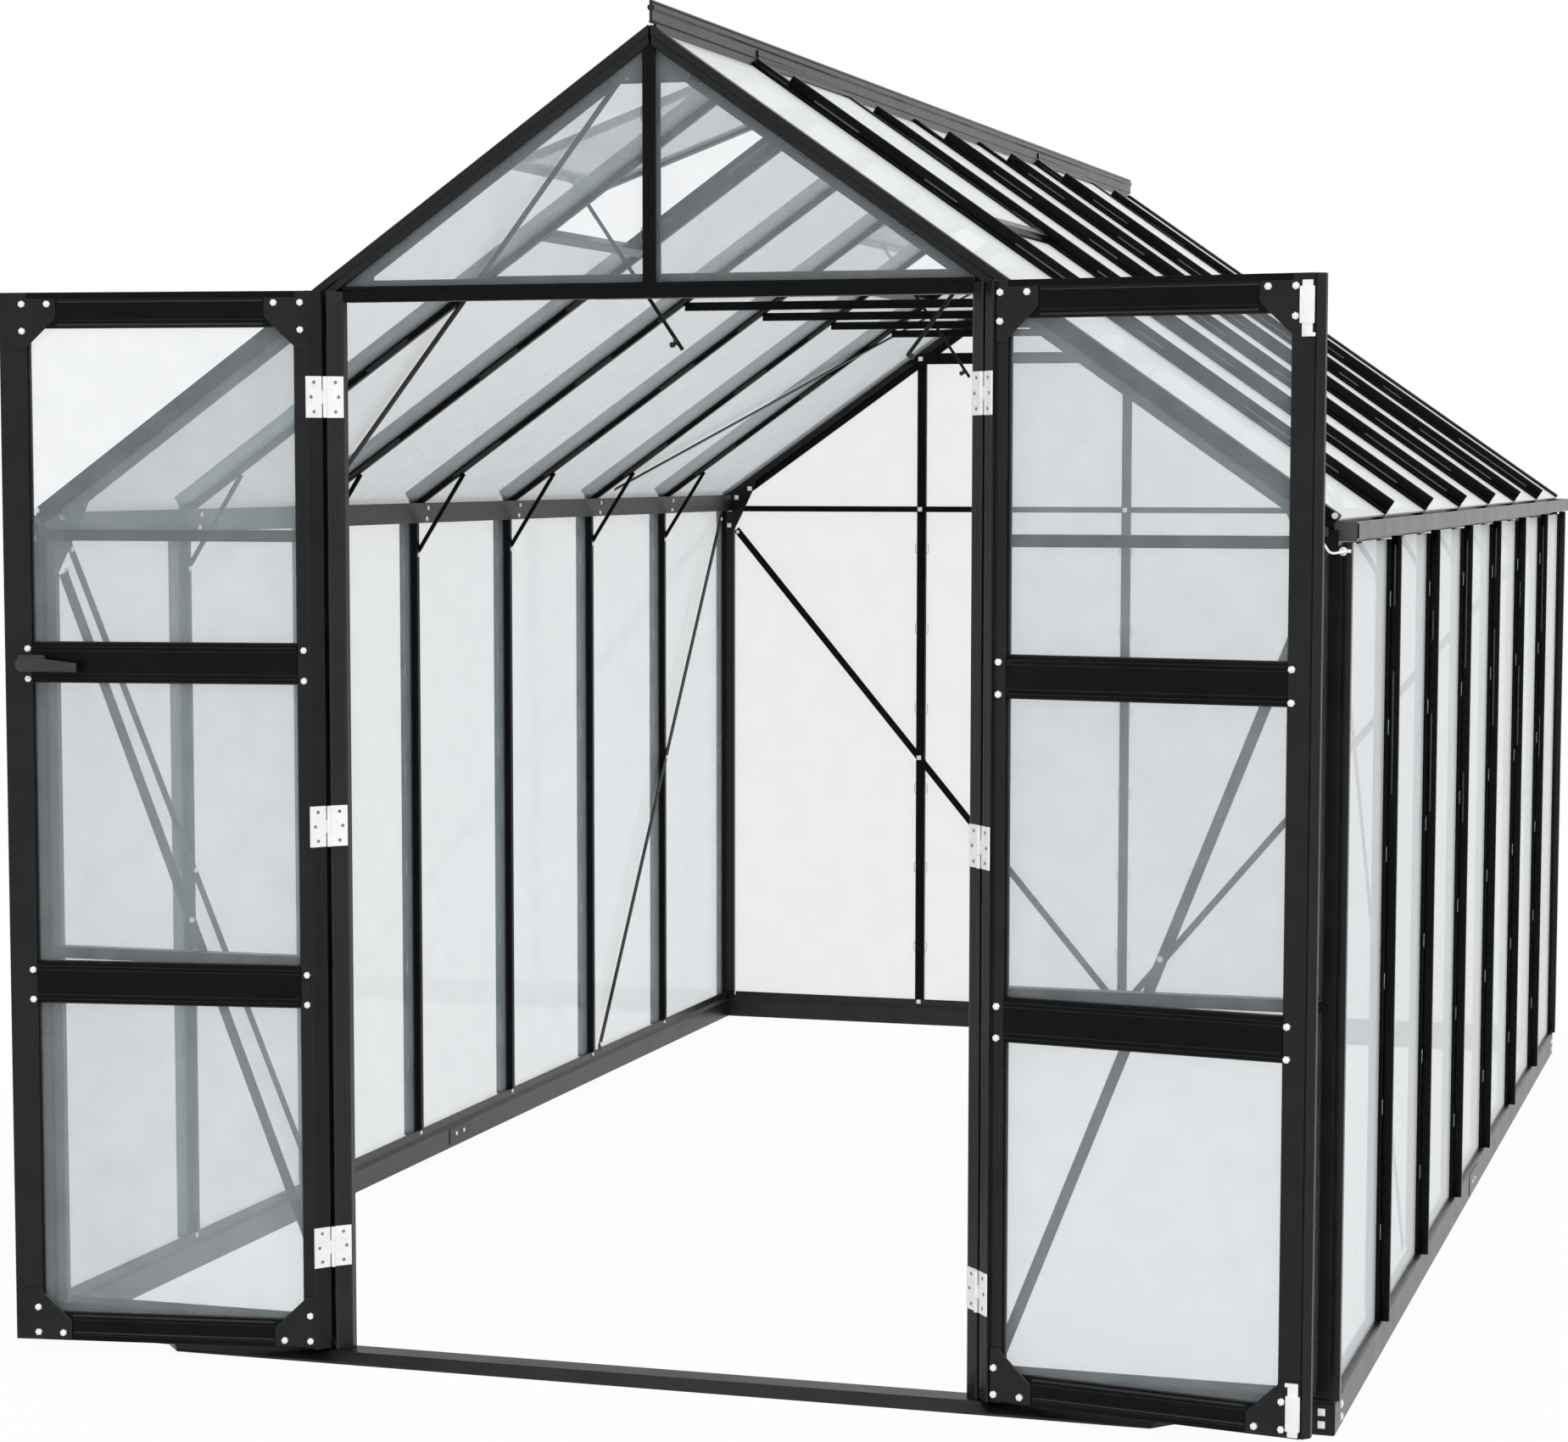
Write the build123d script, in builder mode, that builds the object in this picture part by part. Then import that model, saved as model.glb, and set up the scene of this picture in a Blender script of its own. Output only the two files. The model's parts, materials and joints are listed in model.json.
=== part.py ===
from build123d import *
from math import atan2, cos, pi, sin, tan
import os

os.makedirs("parts", exist_ok=True)

# The house: bays of equal width on every wall, origin on the ground in the middle
# of the doorway, X across the front, Y towards the rear, Z up
bay = 620.0
bay_count_long = 7
bay_count_across = 4
length = bay * bay_count_long
half_width = bay * bay_count_across / 2
eave_height = 1600.0
apex_height = 2469.0
pitch = atan2(apex_height - eave_height, half_width)
front = -1
rear = 1
left = -1
right = 1

# Glazing bars of the walls: depths are measured outwards from the middle of the glass
glass = 4.0
glass_half = glass / 2
bar_out = 10.0
bar_in = 18.0
bar_flange_in = 8.0
bar_half = 13.0
web_half = 4.0
stem_half = 8.0

# Base rail, measured the same way
base_out = 15.0
base_face_height = 58.0
ledge_height = 63.0
ledge_out = 10.0
ledge_in = 8.0
lip_height = 76.0
lip_in = 12.0
base_shoulder_height = 57.0
base_foot_height = 50.0
base_in = 20.0

# Roof: depths are measured outwards from the rafters' outer line
rafter_depth = 30.0
rafter_step = 15.0
rafter_step_back = 3.0
roof_bar_depth = 24.0
roof_cap = 8.0
roof_flange = roof_cap + glass + 4.0
roof_overhang = 1.8
roof_end = half_width / cos(pitch) + roof_overhang
ridge_half = 3.0
ridge_web_below = 41.0
ridge_web_above = 43.0
ridge_bottom = apex_height - ridge_web_below
ridge_top = apex_height + ridge_web_above

# Front and rear frames stand between these depths from the grid plane
frame_out = 12.0
frame_in = 18.0
plate = 3.0

# Eave beam and gutter
beam_inset = 12.0
beam_wide = 22.0
beam_drop = 54.0
beam_outer = half_width - beam_inset
beam_inner = beam_outer - beam_wide
beam_bottom = eave_height - beam_drop
gutter_wide = 42.0
gutter_drop = 44.0
gutter_inner_tall = 22.0
gutter_outer_tall = 32.0
gutter_outer = beam_outer + gutter_wide
gutter_bottom = eave_height - gutter_drop
gutter_inner_top = gutter_bottom + gutter_inner_tall
gutter_outer_top = gutter_bottom + gutter_outer_tall
gutter_wall = 3.0
gutter_front = -2.0

# Corner post, measured from the grid lines
corner_out = 6.0
corner_cover = 17.0
corner_flange = 36.0
corner_side_cover = 20.0

# Door opening and door posts
doorway_half = 596.5
nose_x = doorway_half + 22
nose_y = -34.0
post_outer = doorway_half + 25.5
post_glass_edge = doorway_half + 29.5
post_flange_end = doorway_half + 43.5
post_back = 7.0
sill_height = 20.0
sill_half = 980.0
sill_front = -62.0

# Door leaves: u runs from the hinge pin to the free edge, v from the pin to the inside face
pin_x = doorway_half + 24.5
pin_y = -44.0
open_angle = 170.85 * pi / 180
sill_clearance = 6.0
meeting_gap = 3.0
leaf_bottom = sill_height + sill_clearance
head_room = 11.3
leaf_top = apex_height - doorway_half * tan(pitch) - rafter_depth / cos(pitch) - head_room
head_bottom = leaf_top - 20
head_top = leaf_top + 2
leaf_hinge_edge = 6.0
leaf_outside = -14.0
leaf_face = 12.5
leaf_bevel_offset = 7.07
leaf_bevel_end = 28.0
leaf_lip_end = 31.7
stile_inner = 54.0
leaf_free_edge = pin_x - meeting_gap
free_stile_inner = leaf_free_edge - 53
free_bevel_start = leaf_free_edge - 14
leaf_foot_rail = 51.0
leaf_head_rail = 63.0
leaf_rails = (
    (leaf_bottom, leaf_bottom + leaf_foot_rail),
    (675.0, 750.0),
    (1281.0, 1352.0),
    (leaf_top - leaf_head_rail, leaf_top),
)

# Hinges
hinge_inset = 194.0
hinge_heights = (leaf_bottom + hinge_inset, (leaf_bottom + leaf_top) / 2, leaf_top - hinge_inset)
hinge_tall = 76.0
hinge_wide = 38.0
hinge_sheet = 2.5
knuckle_radius = 4.0
knuckle_gap = 0.5
pin_radius = 1.8
pin_clearance = 0.05
knuckle_clearance = 5.0

# Roof vents
vent_bays = (1, 5)
vent_sill_top = 536.0
vent_sill_end = 560.0
sash_start = 12.0
sash_end = 552.0
sash_low = -7.5
sash_high = 6.5
sash_bar = 24.0
sash_clearance = 2.0
vent_open = 15.0 * pi / 180

# Ties and braces
tie_drop = 418.0
tie_height = apex_height - tie_drop
tie_half = (tie_drop - roof_bar_depth / cos(pitch)) / tan(pitch) - 2.5
tie_tall = 20.0
brace_wide = 20.0
knee_wide = 10.0
knee_thick = 4.0


def profile(plane, points):
    """A filled outline, drawn point by point on a plane."""
    with BuildSketch(plane) as drawn:
        with BuildLine():
            Polyline(*points, close=True)
        make_face()
    return drawn.sketch


def disc(plane, radius):
    with BuildSketch(plane) as drawn:
        Circle(radius)
    return drawn.sketch


def box_outline(x0, x1, y0, y1):
    return ((x0, y0), (x1, y0), (x1, y1), (x0, y1))


def along_y(points, y_from, y_to, mode=Mode.ADD):
    """Run an outline in X and Z from one depth to another."""
    extrude(profile(Plane.XZ.offset(-y_from), points), amount=y_from - y_to, mode=mode)


def along_x(points, x_from, x_to):
    """Run an outline in Y and Z from one side to the other."""
    extrude(profile(Plane.YZ.offset(x_from), points), amount=x_to - x_from)


def upright(points, z_from, z_to, mode=Mode.ADD):
    """Stand an outline in X and Y up between two heights."""
    extrude(profile(Plane.XY.offset(z_from), points), amount=z_to - z_from, mode=mode)


def slope_plane(side, y, lift=0.0):
    """Side view of a roof slope: local x runs down the slope, local y points outwards."""
    down = pitch - lift
    return Plane(
        origin=(0, y, apex_height),
        x_dir=(side * cos(down), 0, -sin(down)),
        z_dir=(0, -side, 0),
    )


def down_slope(points, side, y_from, y_to, mode=Mode.ADD):
    """Run a side-view outline of the roof from one depth to another."""
    extrude(profile(slope_plane(side, y_from), points), amount=-side * (y_to - y_from), mode=mode)


def slope_strip(low, high, end=roof_end, gap=ridge_half):
    """Outline of a layer of the roof, cut upright at the ridge and square at the eave."""
    return (
        ((gap - low * sin(pitch)) / cos(pitch), low),
        (end, low),
        (end, high),
        ((gap - high * sin(pitch)) / cos(pitch), high),
    )


def roof_line(x, depth=0.0):
    """Height of the line that lies the given depth under the rafters' outer line."""
    return apex_height - abs(x) * tan(pitch) - depth / cos(pitch)


def flat_bar(start, end, face, wide, thick):
    """Straight bar between two points, with its wide side square to the face direction."""
    run = Vector(*end) - Vector(*start)
    across = run.cross(Vector(*face)).normalized()
    with BuildSketch(Plane(origin=start, x_dir=across, z_dir=run)) as section:
        Rectangle(wide, thick)
    extrude(section.sketch, amount=run.length)


def wall_bar_outer(across, out):
    """Section of a wall glazing bar as far in as the ledge lip; out is +1 or -1 along the wall's normal."""
    half = (
        (bar_half, out * bar_out),
        (bar_half, out * glass_half),
        (web_half, out * glass_half),
        (web_half, -out * glass_half),
        (bar_half, -out * glass_half),
        (bar_half, -out * bar_flange_in),
    )
    mirrored = tuple((-q, p) for q, p in reversed(half))
    return tuple((across + q, p) for q, p in half + mirrored)


def turned(points, wall):
    """Move a section drawn along Y = 0 so that it stands on a side wall."""
    return tuple((wall + p, q) for q, p in points)


def shifted(points, depth):
    return tuple((q, depth + p) for q, p in points)


def mirrored_x(points, side):
    return tuple((side * x, y) for x, y in points)


def corner_outline(side, end):
    """Section of a corner post with its two glazing rebates."""
    cover = half_width - corner_cover
    flange = half_width - corner_flange
    face = half_width + corner_out
    line = 0.0 if end == front else length
    points = (
        (cover, -frame_out),
        (face, -frame_out),
        (face, corner_side_cover),
        (half_width - glass_half, corner_side_cover),
        (half_width - glass_half, corner_flange),
        (half_width - corner_out, corner_flange),
        (half_width - corner_out, frame_in),
        (flange, frame_in),
        (flange, glass_half),
        (cover, glass_half),
    )
    return tuple((side * x, line - end * y) for x, y in points)


def frame_depths(end, out, inn):
    """Depth range of a piece in the front or the rear frame."""
    line = 0.0 if end == front else length
    return line + end * out, line - end * inn


grid_rows = tuple(bay * k for k in range(1, bay_count_long))
grid_columns = tuple(bay * k for k in range(1 - bay_count_across // 2, bay_count_across // 2))
sides = (left, right)
ends = (front, rear)
row_edges = (
    (corner_side_cover, bay - web_half),
    *((bay * k + web_half, bay * (k + 1) - web_half) for k in range(1, bay_count_long - 1)),
    (bay * (bay_count_long - 1) + web_half, length - corner_side_cover),
)

# Base rails: outer face, sloping shoulder, ledge for the glass, lip and stepped inner face
base_main = (
    (base_out, 0),
    (base_out, base_face_height),
    (ledge_out, ledge_height),
    (-lip_in, ledge_height),
    (-lip_in, base_shoulder_height),
    (-base_in, base_foot_height),
    (-base_in, 0),
)
lip_main = box_outline(-lip_in, -ledge_in, ledge_height, lip_height)
lip_end = half_width - corner_flange - 4

with BuildPart() as base_rails_side:
    for side in sides:
        for points in (base_main, lip_main):
            walls = tuple((side * (half_width + p), z) for p, z in points)
            along_y(walls, base_in, length - base_in)
base_rails_side.part.label = "base_rails_side"
export_step(base_rails_side.part, "parts/base_rails_side.step")

with BuildPart() as base_rail_rear:
    along_x(tuple((length + p, z) for p, z in base_main), -half_width - base_out, half_width + base_out)
    along_x(tuple((length + p, z) for p, z in lip_main), -lip_end, lip_end)
base_rail_rear.part.label = "base_rail_rear"
export_step(base_rail_rear.part, "parts/base_rail_rear.step")

with BuildPart() as base_rails_front:
    for side in sides:
        along_x(tuple((-p, z) for p, z in base_main), side * post_flange_end, side * (half_width + base_out))
        along_x(tuple((-p, z) for p, z in lip_main), side * post_flange_end, side * lip_end)
base_rails_front.part.label = "base_rails_front"
export_step(base_rails_front.part, "parts/base_rails_front.step")

# Door sill: a low bevelled ramp in front of the base rails that fills the doorway behind
sill_bevel = 22.0
sill_edge = 4.0
sill_taper = 40.0
with BuildPart() as door_sill:
    ramp = (
        (sill_front, 0),
        (sill_front, sill_edge),
        (sill_front + sill_bevel, sill_height),
        (-base_out, sill_height),
        (-base_out, 0),
    )
    along_x(ramp, -sill_half, sill_half)
    along_x(box_outline(-base_out, lip_in, 0, sill_height), -post_flange_end, post_flange_end)
    for side in sides:
        taper = (
            (sill_half, sill_front),
            (sill_half, -base_out),
            (sill_half - sill_taper, sill_front),
        )
        upright(mirrored_x(taper, side), 0, sill_height, mode=Mode.SUBTRACT)
door_sill.part.label = "door_sill"
export_step(door_sill.part, "parts/door_sill.step")

# Corner posts, with a short cover in front that closes the corner under the rafter
with BuildPart() as corner_posts:
    for side in sides:
        for end in ends:
            upright(corner_outline(side, end), ledge_height, beam_bottom)
            outer, inner = frame_depths(end, frame_out, -glass_half)
            cover = mirrored_x(box_outline(half_width - corner_cover, half_width, outer, inner), side)
            upright(cover, beam_bottom, gutter_inner_top - 4)
corner_posts.part.label = "corner_posts"
export_step(corner_posts.part, "parts/corner_posts.step")

# Side wall posts, six each side
with BuildPart() as side_posts:
    for side in sides:
        for y in grid_rows:
            section = turned(wall_bar_outer(y, side), side * half_width)
            upright(section, ledge_height, beam_bottom)
            stem_x = sorted((side * (half_width - bar_in), side * (half_width - bar_flange_in)))
            upright(box_outline(*stem_x, y - stem_half, y + stem_half), lip_height, beam_bottom)
side_posts.part.label = "side_posts"
export_step(side_posts.part, "parts/side_posts.step")

# Rear mullions, up to the rafters
with BuildPart() as rear_mullions:
    for x in grid_columns:
        upright(shifted(wall_bar_outer(x, rear), length), ledge_height, apex_height)
        stem = box_outline(x - stem_half, x + stem_half, length - bar_in, length - bar_flange_in)
        upright(stem, lip_height, apex_height)
    for side in sides:
        above = slope_strip(-rafter_depth, bay, end=2 * roof_end, gap=0)
        down_slope(above, side, length - bay, length + bay, mode=Mode.SUBTRACT)
rear_mullions.part.label = "rear_mullions"
export_step(rear_mullions.part, "parts/rear_mullions.step")

# Door posts: a bevelled front that carries the hinges, and a rebate for the side panel's glass
with BuildPart() as door_posts:
    for side in sides:
        bevel = ((doorway_half, -frame_out), (nose_x, nose_y), (post_outer, nose_y), (post_outer, -frame_out))
        upright(mirrored_x(bevel, side), sill_height, leaf_top)
        back = (
            (doorway_half, -frame_out),
            (post_outer, -frame_out),
            (post_outer, -bar_out),
            (post_flange_end, -bar_out),
            (post_flange_end, -glass_half),
            (post_glass_edge, -glass_half),
            (post_glass_edge, glass_half),
            (post_flange_end, glass_half),
            (post_flange_end, post_back),
            (doorway_half, post_back),
        )
        upright(mirrored_x(back, side), sill_height, leaf_top)
        above = slope_strip(-rafter_depth, rafter_depth)
        down_slope(above, side, -frame_out, frame_in, mode=Mode.SUBTRACT)
door_posts.part.label = "door_posts"
export_step(door_posts.part, "parts/door_posts.step")

with BuildPart() as door_head_rail:
    along_x(box_outline(-frame_out, frame_in, head_bottom, head_top), -doorway_half, doorway_half)
door_head_rail.part.label = "door_head_rail"
export_step(door_head_rail.part, "parts/door_head_rail.step")

# Mullion of the front gable
mullion_half = 9.5
with BuildPart() as gable_mullion:
    upright(box_outline(-mullion_half, mullion_half, -bar_out, -glass_half), head_top, apex_height)
    upright(box_outline(-web_half, web_half, -glass_half, glass_half), head_top, apex_height)
    upright(box_outline(-mullion_half, mullion_half, glass_half, bar_flange_in), head_top, apex_height)
    for side in sides:
        above = slope_strip(-rafter_depth, rafter_depth, gap=0)
        down_slope(above, side, -frame_out, frame_in, mode=Mode.SUBTRACT)
gable_mullion.part.label = "gable_mullion"
export_step(gable_mullion.part, "parts/gable_mullion.step")

# Rails of the two front side panels: one at the eave, one below the middle
panel_rails = ((740.0, 762.0), (eave_height - 59, eave_height - 37))
with BuildPart() as front_panel_rails:
    for side in sides:
        for low, high in panel_rails:
            cover = box_outline(post_flange_end, half_width - corner_cover, low, high)
            along_y(mirrored_x(cover, side), -frame_out, -glass_half)
            body = box_outline(post_flange_end, half_width - corner_flange, low, high)
            along_y(mirrored_x(body, side), -glass_half, frame_in)
front_panel_rails.part.label = "front_panel_rails"
export_step(front_panel_rails.part, "parts/front_panel_rails.step")

# Gusset plates at the eaves: their inner edge rises from the first of these points to the second
gusset_low = (beam_inner - 26, eave_height - 70)
gusset_high = (beam_inner - 60, eave_height)
gusset_gap = 0.2


def gusset_edge(height):
    """How far out a tie reaches before it meets the eave gusset."""
    lean = (gusset_low[0] - gusset_high[0]) / (gusset_high[1] - gusset_low[1])
    return gusset_low[0] - (height - gusset_low[1]) * lean - gusset_gap


def behind_rafter(height):
    """How far out a tie reaches to lie on the rafter's inner face."""
    return (apex_height - rafter_step / cos(pitch) - height) / tan(pitch)


# Flat ties across the inside of the rear wall, at the eave and at the gable
rear_eave_tie = (eave_height - 56, eave_height - 39)
rear_gable_tie = (apex_height - 487, apex_height - 454)
tie_back = length - bar_in
with BuildPart() as rear_tie_rails:
    for low, high, reach in ((*rear_eave_tie, gusset_edge), (*rear_gable_tie, behind_rafter)):
        tie = ((-reach(low), low), (reach(low), low), (reach(high), high), (-reach(high), high))
        along_y(tie, tie_back - plate, tie_back)
rear_tie_rails.part.label = "rear_tie_rails"
export_step(rear_tie_rails.part, "parts/rear_tie_rails.step")

# Rafters of the two gables, stepped back along the lower half of their outer face
with BuildPart() as gable_rafters:
    for side in sides:
        for end in ends:
            outer, inner = frame_depths(end, frame_out, frame_in)
            down_slope(slope_strip(-rafter_step, 0, gap=2), side, outer, inner)
            stepped = outer - end * rafter_step_back
            down_slope(slope_strip(-rafter_depth, -rafter_step, gap=2), side, stepped, inner)
gable_rafters.part.label = "gable_rafters"
export_step(gable_rafters.part, "parts/gable_rafters.step")

# Roof glazing bars
with BuildPart() as roof_bars:
    for side in sides:
        for y in grid_rows:
            down_slope(slope_strip(-roof_cap, 0), side, y - bar_half, y + bar_half)
            down_slope(slope_strip(-roof_cap - glass, -roof_cap), side, y - web_half, y + web_half)
            down_slope(slope_strip(-roof_flange, -roof_cap - glass), side, y - bar_half, y + bar_half)
            down_slope(slope_strip(-roof_bar_depth, -roof_flange), side, y - stem_half, y + stem_half)
roof_bars.part.label = "roof_bars"
export_step(roof_bars.part, "parts/roof_bars.step")

# Ridge: an upright web between the slopes with a bead along its top
bead_half = 6.5
bead_high = ridge_top - 9
bead_low = bead_high - 7
with BuildPart() as ridge:
    along_y(box_outline(-ridge_half, ridge_half, ridge_bottom, ridge_top), frame_in + plate,
            length - frame_in - plate)
    crown = (
        (-ridge_half, apex_height + 2),
        (ridge_half, apex_height + 2),
        (ridge_half, bead_low - 3),
        (bead_half, bead_low),
        (bead_half, bead_high),
        (ridge_half, bead_high),
        (ridge_half, ridge_top),
        (-ridge_half, ridge_top),
        (-ridge_half, bead_high),
        (-bead_half, bead_high),
        (-bead_half, bead_low),
        (-ridge_half, bead_low - 3),
    )
    along_y(crown, gutter_front, length - gutter_front)
ridge.part.label = "ridge"
export_step(ridge.part, "parts/ridge.step")

# Eave beams: the roof bars rest on their sloping tops
beam_start = frame_in + plate
with BuildPart() as eave_beams:
    for side in sides:
        beam = (
            (beam_inner, beam_bottom),
            (beam_outer, beam_bottom),
            (beam_outer, roof_line(beam_outer, roof_bar_depth)),
            (beam_inner, roof_line(beam_inner, roof_bar_depth)),
        )
        along_y(mirrored_x(beam, side), beam_start, length - beam_start)
eave_beams.part.label = "eave_beams"
export_step(eave_beams.part, "parts/eave_beams.step")

# Gutters: open troughs outside the eave beams, closed at both ends
with BuildPart() as gutters:
    for side in sides:
        trough = (
            (beam_outer, gutter_bottom),
            (gutter_outer, gutter_bottom),
            (gutter_outer, gutter_outer_top),
            (gutter_outer - gutter_wall, gutter_outer_top),
            (gutter_outer - gutter_wall, gutter_bottom + gutter_wall),
            (beam_outer + gutter_wall, gutter_bottom + gutter_wall),
            (beam_outer + gutter_wall, gutter_inner_top),
            (beam_outer, gutter_inner_top),
        )
        along_y(mirrored_x(trough, side), gutter_front, length - gutter_front)
        cap = (
            (beam_outer, gutter_bottom),
            (gutter_outer, gutter_bottom),
            (gutter_outer, gutter_outer_top),
            (beam_outer + 2 * gutter_wall + 4, gutter_outer_top),
            (beam_outer, gutter_inner_top),
        )
        along_y(mirrored_x(cap, side), gutter_front, gutter_front + gutter_wall)
        along_y(mirrored_x(cap, side), length - gutter_front - gutter_wall, length - gutter_front)
gutters.part.label = "gutters"
export_step(gutters.part, "parts/gutters.step")

# Collar ties, bolted beside the stems of the roof bars
with BuildPart() as collar_ties:
    for y in grid_rows:
        tie = box_outline(-tie_half, tie_half, tie_height - tie_tall / 2, tie_height + tie_tall / 2)
        along_y(tie, y + stem_half, y + stem_half + plate)
collar_ties.part.label = "collar_ties"
export_step(collar_ties.part, "parts/collar_ties.step")

# Knee braces from each side post up to its roof bar
knee_foot = (beam_outer - 2, beam_bottom - 68)
knee_run = 119.0
knee_head = (knee_foot[0] - knee_run, roof_line(knee_foot[0] - knee_run, roof_bar_depth))
with BuildPart() as knee_braces:
    for side in sides:
        for y in grid_rows:
            middle = y + stem_half + knee_thick / 2
            flat_bar(
                (side * knee_foot[0], middle, knee_foot[1]),
                (side * knee_head[0], middle, knee_head[1]),
                (0, 1, 0), knee_wide, knee_thick,
            )
knee_braces.part.label = "knee_braces"
export_step(knee_braces.part, "parts/knee_braces.step")

# Wind braces on the inside of the walls
side_brace_x = half_width - bar_in - plate / 2
side_brace_top = (90.0, beam_bottom - 14)
side_brace_foot = (2 * bay - 35, lip_height + 4)
rear_brace_top = (half_width - 45, eave_height - 110)
rear_brace_foot = (14.0, lip_height + 16)
front_brace_top = (half_width - 44, eave_height - 122)
front_brace_foot = (post_flange_end + 12, lip_height + 19)
with BuildPart() as wall_braces:
    for side in sides:
        flat_bar(
            (side * side_brace_x, side_brace_top[0], side_brace_top[1]),
            (side * side_brace_x, side_brace_foot[0], side_brace_foot[1]),
            (1, 0, 0), brace_wide, plate,
        )
        flat_bar(
            (side * side_brace_x, length - side_brace_top[0], side_brace_top[1]),
            (side * side_brace_x, length - side_brace_foot[0], side_brace_foot[1]),
            (1, 0, 0), brace_wide, plate,
        )
        flat_bar(
            (side * rear_brace_top[0], length - bar_in - plate / 2, rear_brace_top[1]),
            (side * rear_brace_foot[0], length - bar_in - plate / 2, rear_brace_foot[1]),
            (0, 1, 0), brace_wide, plate,
        )
        flat_bar(
            (side * front_brace_top[0], frame_in + plate / 2, front_brace_top[1]),
            (side * front_brace_foot[0], frame_in + plate / 2, front_brace_foot[1]),
            (0, 1, 0), brace_wide, plate,
        )
wall_braces.part.label = "wall_braces"
export_step(wall_braces.part, "parts/wall_braces.step")

# Wind braces under the left slope, at both ends of the house
brace_drop = roof_bar_depth + plate / 2
roof_brace_top = (75.0, 60.0)
roof_brace_foot = (half_width - 70, 2 * bay - 35)
with BuildPart() as roof_braces:
    for mirror_from, direction in ((0.0, 1), (length, -1)):
        flat_bar(
            (-roof_brace_top[0], mirror_from + direction * roof_brace_top[1],
             roof_line(roof_brace_top[0], brace_drop)),
            (-roof_brace_foot[0], mirror_from + direction * roof_brace_foot[1],
             roof_line(roof_brace_foot[0], brace_drop)),
            (-sin(pitch), 0, cos(pitch)), brace_wide, plate,
        )
roof_braces.part.label = "roof_braces"
export_step(roof_braces.part, "parts/roof_braces.step")

# Gusset plates on the inside of both gable frames
plate_drop = roof_cap + glass + 0.5
apex_plate_low = apex_height - 102
with BuildPart() as gusset_plates:
    for end in ends:
        outer, inner = frame_depths(end, -frame_in, frame_in + plate)
        apex_top = ridge_bottom - 2
        apex_reach = (apex_height - plate_drop / cos(pitch) - apex_top) / tan(pitch)
        low_reach = (apex_height - plate_drop / cos(pitch) - apex_plate_low) / tan(pitch)
        apex = (
            (-low_reach, apex_plate_low),
            (low_reach, apex_plate_low),
            (apex_reach, apex_top),
            (-apex_reach, apex_top),
        )
        along_y(apex, outer, inner)
        for side in sides:
            corner = (
                (beam_inner, beam_bottom - 66),
                (beam_outer, beam_bottom - 66),
                (beam_outer, roof_line(beam_outer, roof_bar_depth)),
                (beam_outer - 100, roof_line(beam_outer - 100, roof_bar_depth)),
                gusset_high,
                gusset_low,
            )
            along_y(mirrored_x(corner, side), outer, inner)
    shoulder_inner = doorway_half - 48.5
    shoulder_outer = post_flange_end - 4
    for side in sides:
        shoulder = (
            (shoulder_inner, head_bottom + 5),
            (doorway_half - 6.5, head_bottom + 5),
            (shoulder_outer, leaf_top - 7),
            (shoulder_outer, roof_line(shoulder_outer, rafter_step)),
            (shoulder_inner, roof_line(shoulder_inner, rafter_step)),
        )
        along_y(mirrored_x(shoulder, side), frame_in, frame_in + plate)
gusset_plates.part.label = "gusset_plates"
export_step(gusset_plates.part, "parts/gusset_plates.step")

# Glass of the side walls
with BuildPart() as side_wall_panes:
    for side in sides:
        for y_from, y_to in row_edges:
            wall = mirrored_x(
                box_outline(half_width - glass_half, half_width + glass_half, ledge_height, beam_bottom), side)
            along_y(wall, y_from, y_to)
side_wall_panes.part.label = "side_wall_panes"
export_step(side_wall_panes.part, "parts/side_wall_panes.step")

# Glass of the rear wall, one sheet a bay from the ledge to the rafter
with BuildPart() as rear_panes:
    columns = ((web_half, bay - web_half), (bay + web_half, half_width - corner_cover))
    for side in sides:
        for x_from, x_to in columns:
            sheet = (
                (x_from, ledge_height),
                (x_to, ledge_height),
                (x_to, roof_line(x_to, rafter_depth)),
                (x_from, roof_line(x_from, rafter_depth)),
            )
            along_y(mirrored_x(sheet, side), length - glass_half, length + glass_half)
rear_panes.part.label = "rear_panes"
export_step(rear_panes.part, "parts/rear_panes.step")

# Glass of the front side panels, above and below their rails
with BuildPart() as front_panel_panes:
    panel_from = post_glass_edge
    panel_to = half_width - corner_cover
    rows = ((ledge_height, panel_rails[0][0]), (panel_rails[0][1], panel_rails[1][0]))
    for side in sides:
        for low, high in rows:
            sheet = box_outline(panel_from, panel_to, low, high)
            along_y(mirrored_x(sheet, side), -glass_half, glass_half)
        eave_rail_top = panel_rails[1][1]
        sheet = (
            (panel_from, eave_rail_top),
            (panel_to, eave_rail_top),
            (panel_to, roof_line(panel_to, rafter_depth)),
            (panel_from, roof_line(panel_from, rafter_depth)),
        )
        along_y(mirrored_x(sheet, side), -glass_half, glass_half)
front_panel_panes.part.label = "front_panel_panes"
export_step(front_panel_panes.part, "parts/front_panel_panes.step")

# Two glass panes of the front gable
with BuildPart() as gable_panes:
    for side in sides:
        sheet = (
            (web_half, head_top),
            (doorway_half, head_top),
            (doorway_half, roof_line(doorway_half, rafter_depth)),
            (web_half, roof_line(web_half, rafter_depth)),
        )
        along_y(mirrored_x(sheet, side), -glass_half, glass_half)
gable_panes.part.label = "gable_panes"
export_step(gable_panes.part, "parts/gable_panes.step")

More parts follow.
